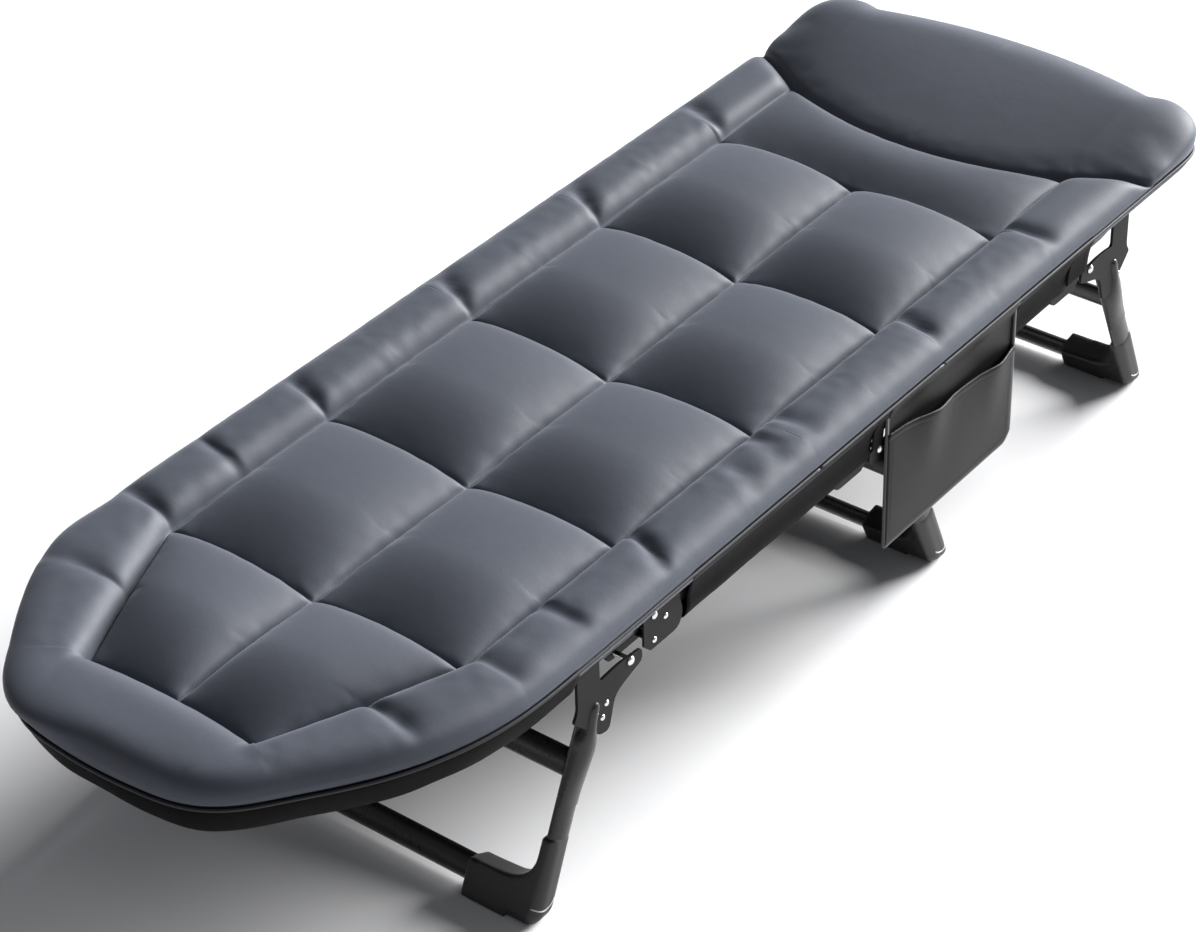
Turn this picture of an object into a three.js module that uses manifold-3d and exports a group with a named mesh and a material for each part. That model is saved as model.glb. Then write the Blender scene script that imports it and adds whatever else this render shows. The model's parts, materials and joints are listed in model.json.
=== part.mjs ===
// Folding cot with three splayed leg frames, a fold-up foot section and a fold-up head section.
// Millimetres, +Z up. X runs across the cot, Y along it with the head at +Y, and Z = 0 is the floor.

import * as THREE from 'three';
import { mergeVertices } from 'three/addons/utils/BufferGeometryUtils.js';
import Module from 'manifold-3d';

const wasm = await Module();
wasm.setup();

// ---------------------------------------------------------------- driving dimensions

const HALF_LENGTH = 950;
const HALF_WIDTH = 318;

const GAP = 0.3;            // clearance between pieces that touch
const WALL = 1.5;           // wall of every steel tube

const FOOT_HINGE_Y = -376;  // line where the foot section meets the main section
const HEAD_HINGE_Y = 591;   // line where the head section meets the main section

const RAIL = { width: 22, height: 36, x: 287, z: 308 };
const END_TUBE = { diameter: 22, z: 313 };
const FRAME_INSET = 31;          // centre line of the foot frame's tube inside the mattress outline
const HEAD_FRAME_INSET = 56;     // the same for the head frame, beyond its step
const HEAD_STEP_Y = 672;         // where the head frame's tube starts to step inwards

const SPLAY = Math.atan(0.45);   // lean of every leg frame away from the upright
const LEG = { width: 18, depth: 36, x: 289, top: 286 };
const FOOT_HEIGHT = 108;
const FOOT_ARM_END_X = 188;
const LOWER_BAR_HEIGHT = 24;
const UPPER_BAR_HEIGHT = 197;

const LEG_PIVOT = { z: 281, setback: 25 };   // setback from the hinge line, away from the rail
const FOLD_PIVOT = { z: 316, inset: 22 };    // inset from the hinge line, along the rail
const LEG_FOOT_REACH = 171;                  // floor point of a leg, measured along Y from its pivot
const MID_LEG_PIVOT_Y = 110;

const PLATE = 4;             // leg plate thickness
const CHEEK = 3;             // bracket cheek thickness
const LEG_PIN_RADIUS = 4;
const FOLD_PIN_RADIUS = 3;

const MATTRESS = { bottom: 332, top: 372 };
const PILLOW = { top: 402, inset: 6, frontY: 622, frontRadius: 482 };
const SLING = { bottom: 327, top: 330, wall: 2.5, wallX: 299.5 };
const MAIN_SKIRT_BOTTOM = 268;
const END_SKIRT_BOTTOM = 298;
const SLEEVE_SETBACK = 82;   // the main sleeves stop this far short of the hinge lines
const SLEEVE_BREAK = 110;    // they are open this far each way from the middle leg's pivot
const SLEEVE_OUTSIDE = 15;   // outer face of an end sleeve, measured out from its tube's centre line
const PANEL_SETBACK = 18;    // the end panels start this far outside the hinge lines

const POCKET = { y0: 114, y1: 412, z0: 127, z1: 326, back: 307, front: 318, sheet: 2, cutCorner: 12 };
const POCKET_RIM = { low: 275, middle: 281, high: 302 };   // heights of the front's rim, head end to foot end

// Corner points of the mattress ends, right half, from the hinge line outwards.
const FOOT_CORNERS = [[HALF_WIDTH, -706], [143, -938], [0, -HALF_LENGTH - 2]];
const HEAD_CORNERS = [[HALF_WIDTH, 888], [150, 940], [0, HALF_LENGTH + 2]];

// ---------------------------------------------------------------- materials

function finish(color, roughness, metalness) {
  return new THREE.MeshStandardMaterial({ color, roughness, metalness });
}

const tubeFinish = finish(0x3a3b3d, 0.45, 0.5);
const plateFinish = finish(0x4a4b4d, 0.4, 0.6);
const rivetFinish = finish(0xd9dadc, 0.25, 1.0);
const plasticFinish = finish(0x262627, 0.5, 0.0);
const canvasFinish = finish(0x161618, 0.9, 0.0);
const pocketFinish = finish(0x4b4c4e, 0.8, 0.0);
const mattressFinish = finish(0x5d646f, 0.75, 0.0);

// ---------------------------------------------------------------- solids

function toSolid(geometry) {
  geometry.deleteAttribute('normal');
  geometry.deleteAttribute('uv');
  const merged = mergeVertices(geometry, 1e-4);
  return new wasm.Manifold(new wasm.Mesh({
    numProp: 3,
    vertProperties: new Float32Array(merged.attributes.position.array),
    triVerts: new Uint32Array(merged.index.array),
  }));
}

function toGeometry(solid) {
  const mesh = solid.getMesh();
  const geometry = new THREE.BufferGeometry();
  geometry.setAttribute('position', new THREE.BufferAttribute(mesh.vertProperties, 3));
  geometry.setIndex(new THREE.BufferAttribute(mesh.triVerts, 1));
  geometry.computeVertexNormals();
  return geometry;
}

function join(...solids) {
  return solids.reduce((whole, piece) => whole.add(piece));
}

function mirrored(solid) {
  return solid.mirror([1, 0, 0]);
}

// A block given by its lowest and highest corners.
function block(low, high) {
  const size = high.map((value, axis) => value - low[axis]);
  const geometry = new THREE.BoxGeometry(...size);
  geometry.translate(low[0] + size[0] / 2, low[1] + size[1] / 2, low[2] + size[2] / 2);
  return toSolid(geometry);
}

// Shape in (x, y), raised from z0 to z1.
function slab(shape, z0, z1, curveSegments = 6) {
  const geometry = new THREE.ExtrudeGeometry(shape, { depth: z1 - z0, bevelEnabled: false, curveSegments });
  geometry.translate(0, 0, z0);
  return toSolid(geometry);
}

// Shape in (y, z), thickened from x0 to x1.
function sidePlate(shape, x0, x1, curveSegments = 3) {
  const geometry = new THREE.ExtrudeGeometry(shape, { depth: x1 - x0, bevelEnabled: false, curveSegments });
  geometry.applyMatrix4(new THREE.Matrix4().set(0, 0, 1, x0, 1, 0, 0, 0, 0, 1, 0, 0, 0, 0, 0, 1));
  return toSolid(geometry);
}

// Shape in (x, z), drawn along Y from y0 to y1.
function lengthwise(shape, y0, y1, curveSegments = 6) {
  const geometry = new THREE.ExtrudeGeometry(shape, { depth: y1 - y0, bevelEnabled: false, curveSegments });
  geometry.rotateX(Math.PI / 2);
  geometry.translate(0, y1, 0);
  return toSolid(geometry);
}

// Round rod along X.
function crossRod(radius, x0, x1, y, z, segments = 12) {
  const geometry = new THREE.CylinderGeometry(radius, radius, x1 - x0, segments);
  geometry.rotateZ(Math.PI / 2);
  geometry.translate((x0 + x1) / 2, y, z);
  return toSolid(geometry);
}

// Domed pin head whose flat side faces -X at x.
function domedHead(x, y, z, radius) {
  const profile = [[0, 0], [radius, 0], [radius, 0.8], [radius * 0.7, radius * 0.4], [0, radius * 0.55]]
    .map((point) => new THREE.Vector2(...point));
  const geometry = new THREE.LatheGeometry(profile, 12);
  geometry.rotateZ(-Math.PI / 2);
  geometry.translate(x, y, z);
  return toSolid(geometry);
}

// Pin along X with a domed head at its outer end and a flat collar at its inner end.
function pivotPin(radius, inner, outer, y, z) {
  const collar = crossRod(radius + 2, inner - 2, inner - GAP, y, z);
  const shank = crossRod(radius, inner - 1, outer + 1, y, z);
  return join(collar, shank, domedHead(outer + GAP, y, z, radius + 2));
}

// Closed polygon with every corner rounded by the radius given for it.
function roundedShape(points, radii) {
  const shape = new THREE.Shape();
  points.forEach((point, index) => {
    const before = points[(index + points.length - 1) % points.length];
    const after = points[(index + 1) % points.length];
    const corner = new THREE.Vector2(...point);
    const inward = new THREE.Vector2(...before).sub(corner);
    const outward = new THREE.Vector2(...after).sub(corner);
    const reach = Math.min(radii[index], inward.length() * 0.49, outward.length() * 0.49);
    const start = corner.clone().add(inward.setLength(reach));
    const end = corner.clone().add(outward.setLength(reach));
    if (index === 0) shape.moveTo(start.x, start.y);
    else shape.lineTo(start.x, start.y);
    shape.quadraticCurveTo(corner.x, corner.y, end.x, end.y);
  });
  shape.closePath();
  return shape;
}

function ovalShape(width, height, x = 0, y = 0) {
  const shape = new THREE.Shape();
  shape.absellipse(x, y, width / 2, height / 2, 0, Math.PI * 2, false, 0);
  return shape;
}

// Oval ring, the section of a tube.
function tubeShape(width, height, x = 0, y = 0) {
  const shape = ovalShape(width, height, x, y);
  shape.holes.push(ovalShape(width - 2 * WALL, height - 2 * WALL, x, y));
  return shape;
}

// Tube of round section along a path in the XY plane.
function bentTube(path, diameter, steps) {
  const geometry = new THREE.ExtrudeGeometry(tubeShape(diameter, diameter), {
    steps, extrudePath: path, bevelEnabled: false, curveSegments: 5,
  });
  return toSolid(geometry);
}

// ---------------------------------------------------------------- plan outlines of the ends

// Full outline of an end section, shrunk by inset: out from the hinge line, round the end and back.
function endOutline(corners, hingeY, inset) {
  const outward = Math.sign(corners[0][1] - hingeY);
  const right = corners.map((corner, index) => {
    const previous = corners[index - 1];
    const before = index === 0 ? [corner[0], hingeY] : previous;
    const after = index === corners.length - 1 ? [-previous[0], previous[1]] : corners[index + 1];
    const first = new THREE.Vector2(corner[0] - before[0], corner[1] - before[1]).normalize();
    const second = new THREE.Vector2(after[0] - corner[0], after[1] - corner[1]).normalize();
    const half = first.clone().add(second).normalize();
    const reach = inset / Math.sqrt((1 + first.dot(second)) / 2);
    return [corner[0] + half.y * reach * -outward, corner[1] + half.x * reach * outward];
  });
  const left = right.slice(0, -1).reverse().map(([x, y]) => [-x, y]);
  return [[right[0][0], hingeY], ...right, ...left, [-right[0][0], hingeY]];
}

function endShape(corners, hingeY, inset, radii) {
  const outline = endOutline(corners, hingeY, inset);
  const mirroredRadii = radii.slice(0, -1).reverse();
  return roundedShape(outline, [0.5, ...radii, ...mirroredRadii, 0.5]);
}

const FOOT_RADII = [250, 60, 60];
const HEAD_RADII = [48, 80, 80];

// ---------------------------------------------------------------- main section

const RAIL_CLEAR = 34;       // the rail tube stops this far short of the hinge line
const BRACKET = { start: 2, end: 70, nose: 78, noseZ: 290, bottom: 269, shoulder: 66, top: 325, cut: 12 };
const SPACER = { radius: 5, z: 280 };
const WEB = 3.5;             // thickness of the saddle under the rail

// Bracket that saddles a rail and carries a leg pivot on its inner cheek. Local Y runs from the hinge line
// along the rail. Only a folding hinge has the hole for a fold pin: at the middle leg the rail runs on.
// The outer cheek's corner is cut away to let the folded leg's plate past.
function railBracket(folds) {
  const inner = RAIL.x - RAIL.width / 2 - GAP - CHEEK;
  const outer = RAIL.x + RAIL.width / 2 + GAP;
  const nose = [
    [BRACKET.end, BRACKET.bottom], [BRACKET.nose, BRACKET.noseZ], [BRACKET.shoulder, BRACKET.top],
    [BRACKET.start, BRACKET.top],
  ];
  const cutCorner = [
    [BRACKET.start, BRACKET.bottom + BRACKET.cut],
    [BRACKET.start + BRACKET.cut, BRACKET.bottom],
  ];
  const cheek = roundedShape([...cutCorner, ...nose], [2, 2, 14, 14, 14, 2]);
  const armEnd = -LEG_PIVOT.setback - 12;
  const innerCheek = roundedShape(
    [[armEnd, BRACKET.bottom], ...nose, [-BRACKET.start, 297], [armEnd, 295]],
    [12, 14, 14, 14, 2, 8, 12],
  );
  const spacer = crossRod(SPACER.radius, inner + 1, outer + 1, FOLD_PIVOT.inset, SPACER.z);
  const webTop = RAIL.z - RAIL.height / 2 - GAP;
  const web = block([inner, RAIL_CLEAR, webTop - WEB], [outer + CHEEK, BRACKET.end, webTop]);
  const legHoleRadius = LEG_PIN_RADIUS + GAP;
  const legHole = crossRod(legHoleRadius, inner - 1, inner + CHEEK + 1, -LEG_PIVOT.setback, LEG_PIVOT.z);
  const foldHoleRadius = FOLD_PIN_RADIUS + GAP;
  const foldHole = crossRod(foldHoleRadius, inner - 1, outer + CHEEK + 1, FOLD_PIVOT.inset, FOLD_PIVOT.z);
  const cheeks = join(sidePlate(cheek, outer, outer + CHEEK), sidePlate(innerCheek, inner, inner + CHEEK));
  const bracket = join(cheeks, spacer, web).subtract(legHole);
  return folds ? bracket.subtract(foldHole) : bracket;
}

function mainRail() {
  const section = tubeShape(RAIL.width, RAIL.height, RAIL.x, RAIL.z);
  return lengthwise(section, FOOT_HINGE_Y + RAIL_CLEAR, HEAD_HINGE_Y - RAIL_CLEAR, 8);
}

// Fabric bed panel with the sleeve walls that hang outside the rails.
function mainSling() {
  const y0 = FOOT_HINGE_Y + SLEEVE_SETBACK;
  const y1 = HEAD_HINGE_Y - SLEEVE_SETBACK;
  const outer = SLING.wallX + SLING.wall;
  const panel = block([-outer, y0, SLING.bottom], [outer, y1, SLING.top]);
  const walls = [];
  const stretches = [[y0, MID_LEG_PIVOT_Y - SLEEVE_BREAK], [MID_LEG_PIVOT_Y + SLEEVE_BREAK, y1]];
  for (const [from, to] of stretches) {
    walls.push(block([SLING.wallX, from, MAIN_SKIRT_BOTTOM], [outer, to, SLING.top]));
    walls.push(block([-outer, from, MAIN_SKIRT_BOTTOM], [-SLING.wallX, to, SLING.top]));
  }
  return join(panel, ...walls);
}

// ---------------------------------------------------------------- end sections

// Centre line of a U frame in plan, from one hinge line round the end to the other side.
function framePath(points, radii) {
  const path = new THREE.CurvePath();
  const at = (x, y) => new THREE.Vector3(x, y, END_TUBE.z);
  let from = at(...points[0]);
  for (let index = 1; index < points.length - 1; index += 1) {
    const corner = at(...points[index]);
    const inward = at(...points[index - 1]).sub(corner);
    const outward = at(...points[index + 1]).sub(corner);
    const start = corner.clone().add(inward.setLength(radii[index - 1]));
    const end = corner.clone().add(outward.setLength(radii[index - 1]));
    path.add(new THREE.LineCurve3(from, start));
    path.add(new THREE.QuadraticBezierCurve3(start, corner, end));
    from = end;
  }
  path.add(new THREE.LineCurve3(from, at(...points[points.length - 1])));
  return path;
}

const FRAME_SETBACK = 12;    // the U frame's tube starts this far outside the hinge line
const STEP_LENGTH = 60;      // length along Y of the head frame's inward step
const FOOT_TUBE_BENDS = [220, 50, 58, 50, 220];
const HEAD_TUBE_BENDS = [22, 22, 48, 78, 66, 78, 48, 22, 22];

// Plan points of a U frame that follows the mattress outline at the inset given.
function framePoints(corners, hingeY, inset) {
  const start = hingeY + Math.sign(hingeY) * FRAME_SETBACK;
  return endOutline(corners, start, inset);
}

function footFrame() {
  const points = framePoints(FOOT_CORNERS, FOOT_HINGE_Y, FRAME_INSET);
  return bentTube(framePath(points, FOOT_TUBE_BENDS), END_TUBE.diameter, 40);
}

// The head's tube leaves its knuckles in line with the rails, then steps inwards.
function headFrame() {
  const points = framePoints(HEAD_CORNERS, HEAD_HINGE_Y, HEAD_FRAME_INSET);
  const [first] = points;
  const step = [[RAIL.x, first[1]], [RAIL.x, HEAD_STEP_Y], [first[0], HEAD_STEP_Y + STEP_LENGTH]];
  const stepBack = step.slice().reverse().map(([x, y]) => [-x, y]);
  const path = framePath([...step, ...points.slice(1, -1), ...stepBack], HEAD_TUBE_BENDS);
  return bentTube(path, END_TUBE.diameter, 44);
}

// Forged knuckle between the bracket cheeks, plugged into the U frame's tube. Local Y as in railBracket.
function knuckle() {
  const halfThickness = 8;
  const x0 = RAIL.x - halfThickness;
  const x1 = RAIL.x + halfThickness;
  const neck = new THREE.Shape([
    [-FRAME_SETBACK + GAP, 303], [FOLD_PIVOT.inset, 307.5], [FOLD_PIVOT.inset, FOLD_PIVOT.z],
    [FOLD_PIVOT.inset - 7.5, 311], [FOLD_PIVOT.inset - 10, 310], [FOLD_PIVOT.inset - 26, 321],
    [-FRAME_SETBACK + GAP, 323],
  ].map((point) => new THREE.Vector2(...point)));
  const nose = crossRod(9, x0, x1, FOLD_PIVOT.inset, FOLD_PIVOT.z, 20);
  const spigotRadius = END_TUBE.diameter / 2 - WALL - 2 * GAP;
  const spigotLength = 34;
  const spigot = new THREE.CylinderGeometry(spigotRadius, spigotRadius, spigotLength, 16);
  spigot.translate(RAIL.x, -FRAME_SETBACK + 1 - spigotLength / 2, END_TUBE.z);
  return join(sidePlate(neck, x0, x1), nose, toSolid(spigot))
    .subtract(crossRod(FOLD_PIN_RADIUS + GAP, x0 - 1, x1 + 1, FOLD_PIVOT.inset, FOLD_PIVOT.z));
}

// Fabric of an end section: the bed panel and the sleeve wall round the U frame.
function endSling(corners, hingeY, radii, inset, wallStartY) {
  const away = Math.sign(hingeY);
  const outer = endShape(corners, hingeY, inset, radii);
  const wallHole = endShape(corners, hingeY - away, inset + SLING.wall, radii);
  const panelEnd = hingeY + away * PANEL_SETBACK;
  const far = away * 1200;
  const keepPanel = block([-400, Math.min(panelEnd, far), 0], [400, Math.max(panelEnd, far), 400]);
  const keepWall = block([-400, Math.min(wallStartY, far), 0], [400, Math.max(wallStartY, far), 400]);
  const panel = slab(outer, SLING.bottom, SLING.top).intersect(keepPanel);
  const wall = slab(outer, END_SKIRT_BOTTOM, SLING.top)
    .subtract(slab(wallHole, END_SKIRT_BOTTOM - 1, SLING.top + 1))
    .intersect(keepWall);
  return join(panel, wall);
}

// ---------------------------------------------------------------- legs

// Plate that joins a leg tube to its pivot, in (y, z) from the pivot. The hook reaches past the pivot towards
// the hinge line, the slot above it clears the rail and the shoulder stands beside the end section's tube.
function legPlateShape(shoulderTop) {
  return roundedShape(
    [
      [22, 4], [23, -13], [-11, -23], [-30, -31], [-36, -52], [-42, -74], [-60, -70], [-106, -24], [-98, -12],
      [-98, shoulderTop], [-57, shoulderTop], [-57, 6], [-24, 9],
    ],
    [5, 8, 10, 10, 10, 10, 6, 4, 8, 3, 3, 5, 16],
  );
}

function legPlate(shoulderTop) {
  const x0 = LEG.x + LEG.width / 2 + GAP;
  return sidePlate(legPlateShape(shoulderTop), x0, x0 + PLATE)
    .subtract(crossRod(LEG_PIN_RADIUS + GAP, x0 - 1, x0 + PLATE + 1, 0, 0));
}

// The leg frame is built upright in the XZ plane, standing on Z = 0, and leant by its group.
function legTube() {
  return slab(tubeShape(LEG.width, LEG.depth, LEG.x, 0), FOOT_HEIGHT + GAP, LEG.top, 8);
}

// Turns a solid drawn up from the XY plane so that it runs along +X from x, at the height given.
function acrossFrom(x, height) {
  return new THREE.Matrix4().set(0, 0, 1, x, 1, 0, 0, 0, 0, 1, 0, height, 0, 0, 0, 1);
}

function crossBar(halfLength, height) {
  const geometry = new THREE.ExtrudeGeometry(tubeShape(LEG.width, LEG.depth), {
    depth: 2 * halfLength, bevelEnabled: false, curveSegments: 8,
  });
  geometry.applyMatrix4(acrossFrom(-halfLength, height));
  return toSolid(geometry);
}

// Moulded corner foot: an upright socket, an arm along the floor bar, spigots inside both tubes, a flat sole.
function cornerFoot() {
  const outerX = LEG.x + LEG.width / 2 + 1;
  const innerX = LEG.x - LEG.width / 2 - 1;
  const side = new THREE.Shape();
  side.moveTo(outerX, -30);
  side.lineTo(outerX, FOOT_HEIGHT);
  side.lineTo(innerX, FOOT_HEIGHT);
  side.lineTo(innerX, 78);
  side.quadraticCurveTo(innerX - 4, 46, innerX - 44, 45);
  side.lineTo(FOOT_ARM_END_X, 43);
  side.lineTo(FOOT_ARM_END_X, -30);
  side.closePath();
  const halfDepth = LEG.depth / 2 + 1;
  const body = lengthwise(side, -halfDepth, halfDepth);
  const inside = { width: LEG.width - 2 * WALL - 2 * GAP, depth: LEG.depth - 2 * WALL - 2 * GAP };
  const upper = slab(ovalShape(inside.width, inside.depth, LEG.x, 0), FOOT_HEIGHT - 1, FOOT_HEIGHT + 30);
  const spigotLength = 32;
  const lower = new THREE.ExtrudeGeometry(ovalShape(inside.width, inside.depth), {
    depth: spigotLength, bevelEnabled: false, curveSegments: 6,
  });
  lower.applyMatrix4(acrossFrom(FOOT_ARM_END_X + 1 - spigotLength, LOWER_BAR_HEIGHT));
  return join(body, upper, toSolid(lower));
}

// Everything below the floor is trimmed away from a foot that has been leant by SPLAY.
function trimmedFoot(foot) {
  const lean = new THREE.Matrix4().makeRotationX(-SPLAY);
  const back = lean.clone().invert();
  const floor = new THREE.BoxGeometry(900, 400, 200);
  floor.translate(0, 0, -100);
  floor.applyMatrix4(back);
  return foot.subtract(toSolid(floor));
}

// ---------------------------------------------------------------- pocket

// Foot of the pocket's outline, with the cut corner at the head side.
const POCKET_FOOT = [
  [POCKET.y0, POCKET.z0],
  [POCKET.y1 - POCKET.cutCorner, POCKET.z0],
  [POCKET.y1, POCKET.z0 + POCKET.cutCorner],
];

function pocketBack() {
  const top = [[POCKET.y1, POCKET.z1], [POCKET.y0, POCKET.z1]];
  const outline = roundedShape([...POCKET_FOOT, ...top], [2, 4, 4, 2, 2]);
  return sidePlate(outline, POCKET.back, POCKET.back + POCKET.sheet);
}

// Front sheet, open at the top along a rim that falls towards the head.
function pocketFront() {
  const middleY = (POCKET.y0 + POCKET.y1) / 2;
  const rim = [[POCKET.y1, POCKET_RIM.low], [middleY, POCKET_RIM.middle], [POCKET.y0, POCKET_RIM.high]];
  const outline = roundedShape([...POCKET_FOOT, ...rim], [4, 4, 4, 2, 60, 2]);
  return sidePlate(outline, POCKET.front - POCKET.sheet, POCKET.front);
}

// One straight strip of the gusset between the back and front sheets.
function gussetStrip(y0, y1, z0, z1) {
  const x0 = POCKET.back + POCKET.sheet + GAP;
  const x1 = POCKET.front - POCKET.sheet - GAP;
  return block([x0, y0, z0], [x1, y1, z1]);
}

// ---------------------------------------------------------------- mattress

// The three parts of the mattress meet at the hinge lines with this much room on the main part's side.
const MATTRESS_CLEAR = 1;

function mattressMain() {
  return block([-HALF_WIDTH, FOOT_HINGE_Y + MATTRESS_CLEAR, MATTRESS.bottom],
    [HALF_WIDTH, HEAD_HINGE_Y - MATTRESS_CLEAR, MATTRESS.top]);
}

// Pillow on the head end of the mattress: it fills the end's outline behind a seam that is one round arc.
function pillow() {
  const outline = endShape(HEAD_CORNERS, HEAD_HINGE_Y, PILLOW.inset, HEAD_RADII);
  const front = new THREE.Shape();
  front.absarc(0, PILLOW.frontY + PILLOW.frontRadius, PILLOW.frontRadius, 0, Math.PI * 2, false);
  const bottom = MATTRESS.top + GAP;
  return slab(outline, bottom, PILLOW.top).intersect(slab(front, bottom - 1, PILLOW.top + 1, 40));
}

// ---------------------------------------------------------------- assembly

const cot = new THREE.Group();

function addMesh(parent, name, solid, material) {
  const mesh = new THREE.Mesh(toGeometry(solid), material);
  mesh.name = name;
  parent.add(mesh);
}

function addPair(parent, name, solid, material, swapped = false) {
  addMesh(parent, `${name}_${swapped ? 'left' : 'right'}`, solid, material);
  addMesh(parent, `${name}_${swapped ? 'right' : 'left'}`, mirrored(solid), material);
}

addPair(cot, 'main_rail', mainRail(), tubeFinish);
addMesh(cot, 'sling_main', mainSling(), canvasFinish);
addMesh(cot, 'mattress_main', mattressMain(), mattressFinish);
addMesh(cot, 'pocket_back', pocketBack(), pocketFinish);
addMesh(cot, 'pocket_front', pocketFront(), pocketFinish);

const gussetBottom = POCKET.z0 + POCKET.sheet + GAP;
const footStrip = gussetStrip(POCKET.y0, POCKET.y0 + POCKET.sheet, gussetBottom, POCKET_RIM.high);
const bottomStrip = gussetStrip(POCKET.y0, POCKET.y1 - POCKET.cutCorner, POCKET.z0, POCKET.z0 + POCKET.sheet);
const headBottom = POCKET.z0 + POCKET.cutCorner;
const headStrip = gussetStrip(POCKET.y1 - POCKET.sheet, POCKET.y1, headBottom, POCKET_RIM.low);
addMesh(cot, 'pocket_gusset_foot', footStrip, pocketFinish);
addMesh(cot, 'pocket_gusset_bottom', bottomStrip, pocketFinish);
addMesh(cot, 'pocket_gusset_head', headStrip, pocketFinish);

// Foot and head hinges are the same parts. The head's group is turned half a turn, so its right is the left.
const cheekInner = RAIL.x - RAIL.width / 2 - GAP - CHEEK;
const cheekOuter = RAIL.x + RAIL.width / 2 + GAP + CHEEK;
const foldPin = pivotPin(FOLD_PIN_RADIUS, cheekInner, cheekOuter, FOLD_PIVOT.inset, FOLD_PIVOT.z);
for (const [end, hingeY, turned] of [['foot', FOOT_HINGE_Y, false], ['head', HEAD_HINGE_Y, true]]) {
  const hinge = new THREE.Group();
  hinge.position.y = hingeY;
  hinge.rotation.z = turned ? Math.PI : 0;
  cot.add(hinge);
  addPair(hinge, `${end}_bracket`, railBracket(true), plateFinish, turned);
  addPair(hinge, `${end}_knuckle`, knuckle(), plateFinish, turned);
  addPair(hinge, `${end}_fold_pin`, foldPin, rivetFinish, turned);
}

addMesh(cot, 'foot_frame', footFrame(), tubeFinish);
addMesh(cot, 'head_frame', headFrame(), tubeFinish);
for (const { name, corners, hingeY, radii, tubeInset, sleeveStartY } of [
  {
    name: 'foot', corners: FOOT_CORNERS, hingeY: FOOT_HINGE_Y, radii: FOOT_RADII, tubeInset: FRAME_INSET,
    sleeveStartY: -510,
  },
  {
    name: 'head', corners: HEAD_CORNERS, hingeY: HEAD_HINGE_Y, radii: HEAD_RADII, tubeInset: HEAD_FRAME_INSET,
    sleeveStartY: 745,
  },
]) {
  const sling = endSling(corners, hingeY, radii, tubeInset - SLEEVE_OUTSIDE, sleeveStartY);
  const mattress = slab(endShape(corners, hingeY, 0, radii), MATTRESS.bottom, MATTRESS.top);
  addMesh(cot, `sling_${name}`, sling, canvasFinish);
  addMesh(cot, `mattress_${name}`, mattress, mattressFinish);
}
addMesh(cot, 'pillow', pillow(), mattressFinish);

const middle = new THREE.Group();
middle.position.y = MID_LEG_PIVOT_Y - LEG_PIVOT.setback;
middle.rotation.z = Math.PI;
cot.add(middle);
addPair(middle, 'middle_bracket', railBracket(false), plateFinish, true);

// The foot-end leg leans towards the foot end. The other two are turned and lean towards the head end.
const legPin = pivotPin(LEG_PIN_RADIUS, cheekInner, LEG.x + LEG.width / 2 + GAP + PLATE, 0, 0);
const uprightFoot = trimmedFoot(cornerFoot());
const legs = [
  { name: 'foot_leg', pivotY: FOOT_HINGE_Y - LEG_PIVOT.setback, turned: false, shoulderTop: 40 },
  { name: 'middle_leg', pivotY: MID_LEG_PIVOT_Y, turned: true, shoulderTop: 8 },
  { name: 'head_leg', pivotY: HEAD_HINGE_Y + LEG_PIVOT.setback, turned: true, shoulderTop: 40 },
];
for (const { name, pivotY, turned, shoulderTop } of legs) {
  const leg = new THREE.Group();
  leg.position.set(0, pivotY, LEG_PIVOT.z);
  leg.rotation.z = turned ? Math.PI : 0;
  cot.add(leg);
  addPair(leg, `${name}_plate`, legPlate(shoulderTop), plateFinish, turned);
  addPair(leg, `${name}_pin`, legPin, rivetFinish, turned);

  const frame = new THREE.Group();
  frame.position.set(0, -LEG_FOOT_REACH, -LEG_PIVOT.z);
  frame.rotation.x = -SPLAY;
  leg.add(frame);
  addPair(frame, `${name}_tube`, legTube(), tubeFinish, turned);
  addPair(frame, `${name}_foot`, uprightFoot, plasticFinish, turned);
  addMesh(frame, `${name}_lower_bar`, crossBar(FOOT_ARM_END_X - GAP, LOWER_BAR_HEIGHT), tubeFinish);
  addMesh(frame, `${name}_upper_bar`, crossBar(LEG.x - LEG.width / 2 - GAP, UPPER_BAR_HEIGHT), tubeFinish);
}

export default cot;
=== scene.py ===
"""Looks of the folding cot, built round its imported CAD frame. Metres, +Z up, the head at +Y."""
import itertools
import json
import math

import bmesh
import bpy
import numpy as np
from mathutils import Matrix, Vector, noise
from mathutils.bvhtree import BVHTree


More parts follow.
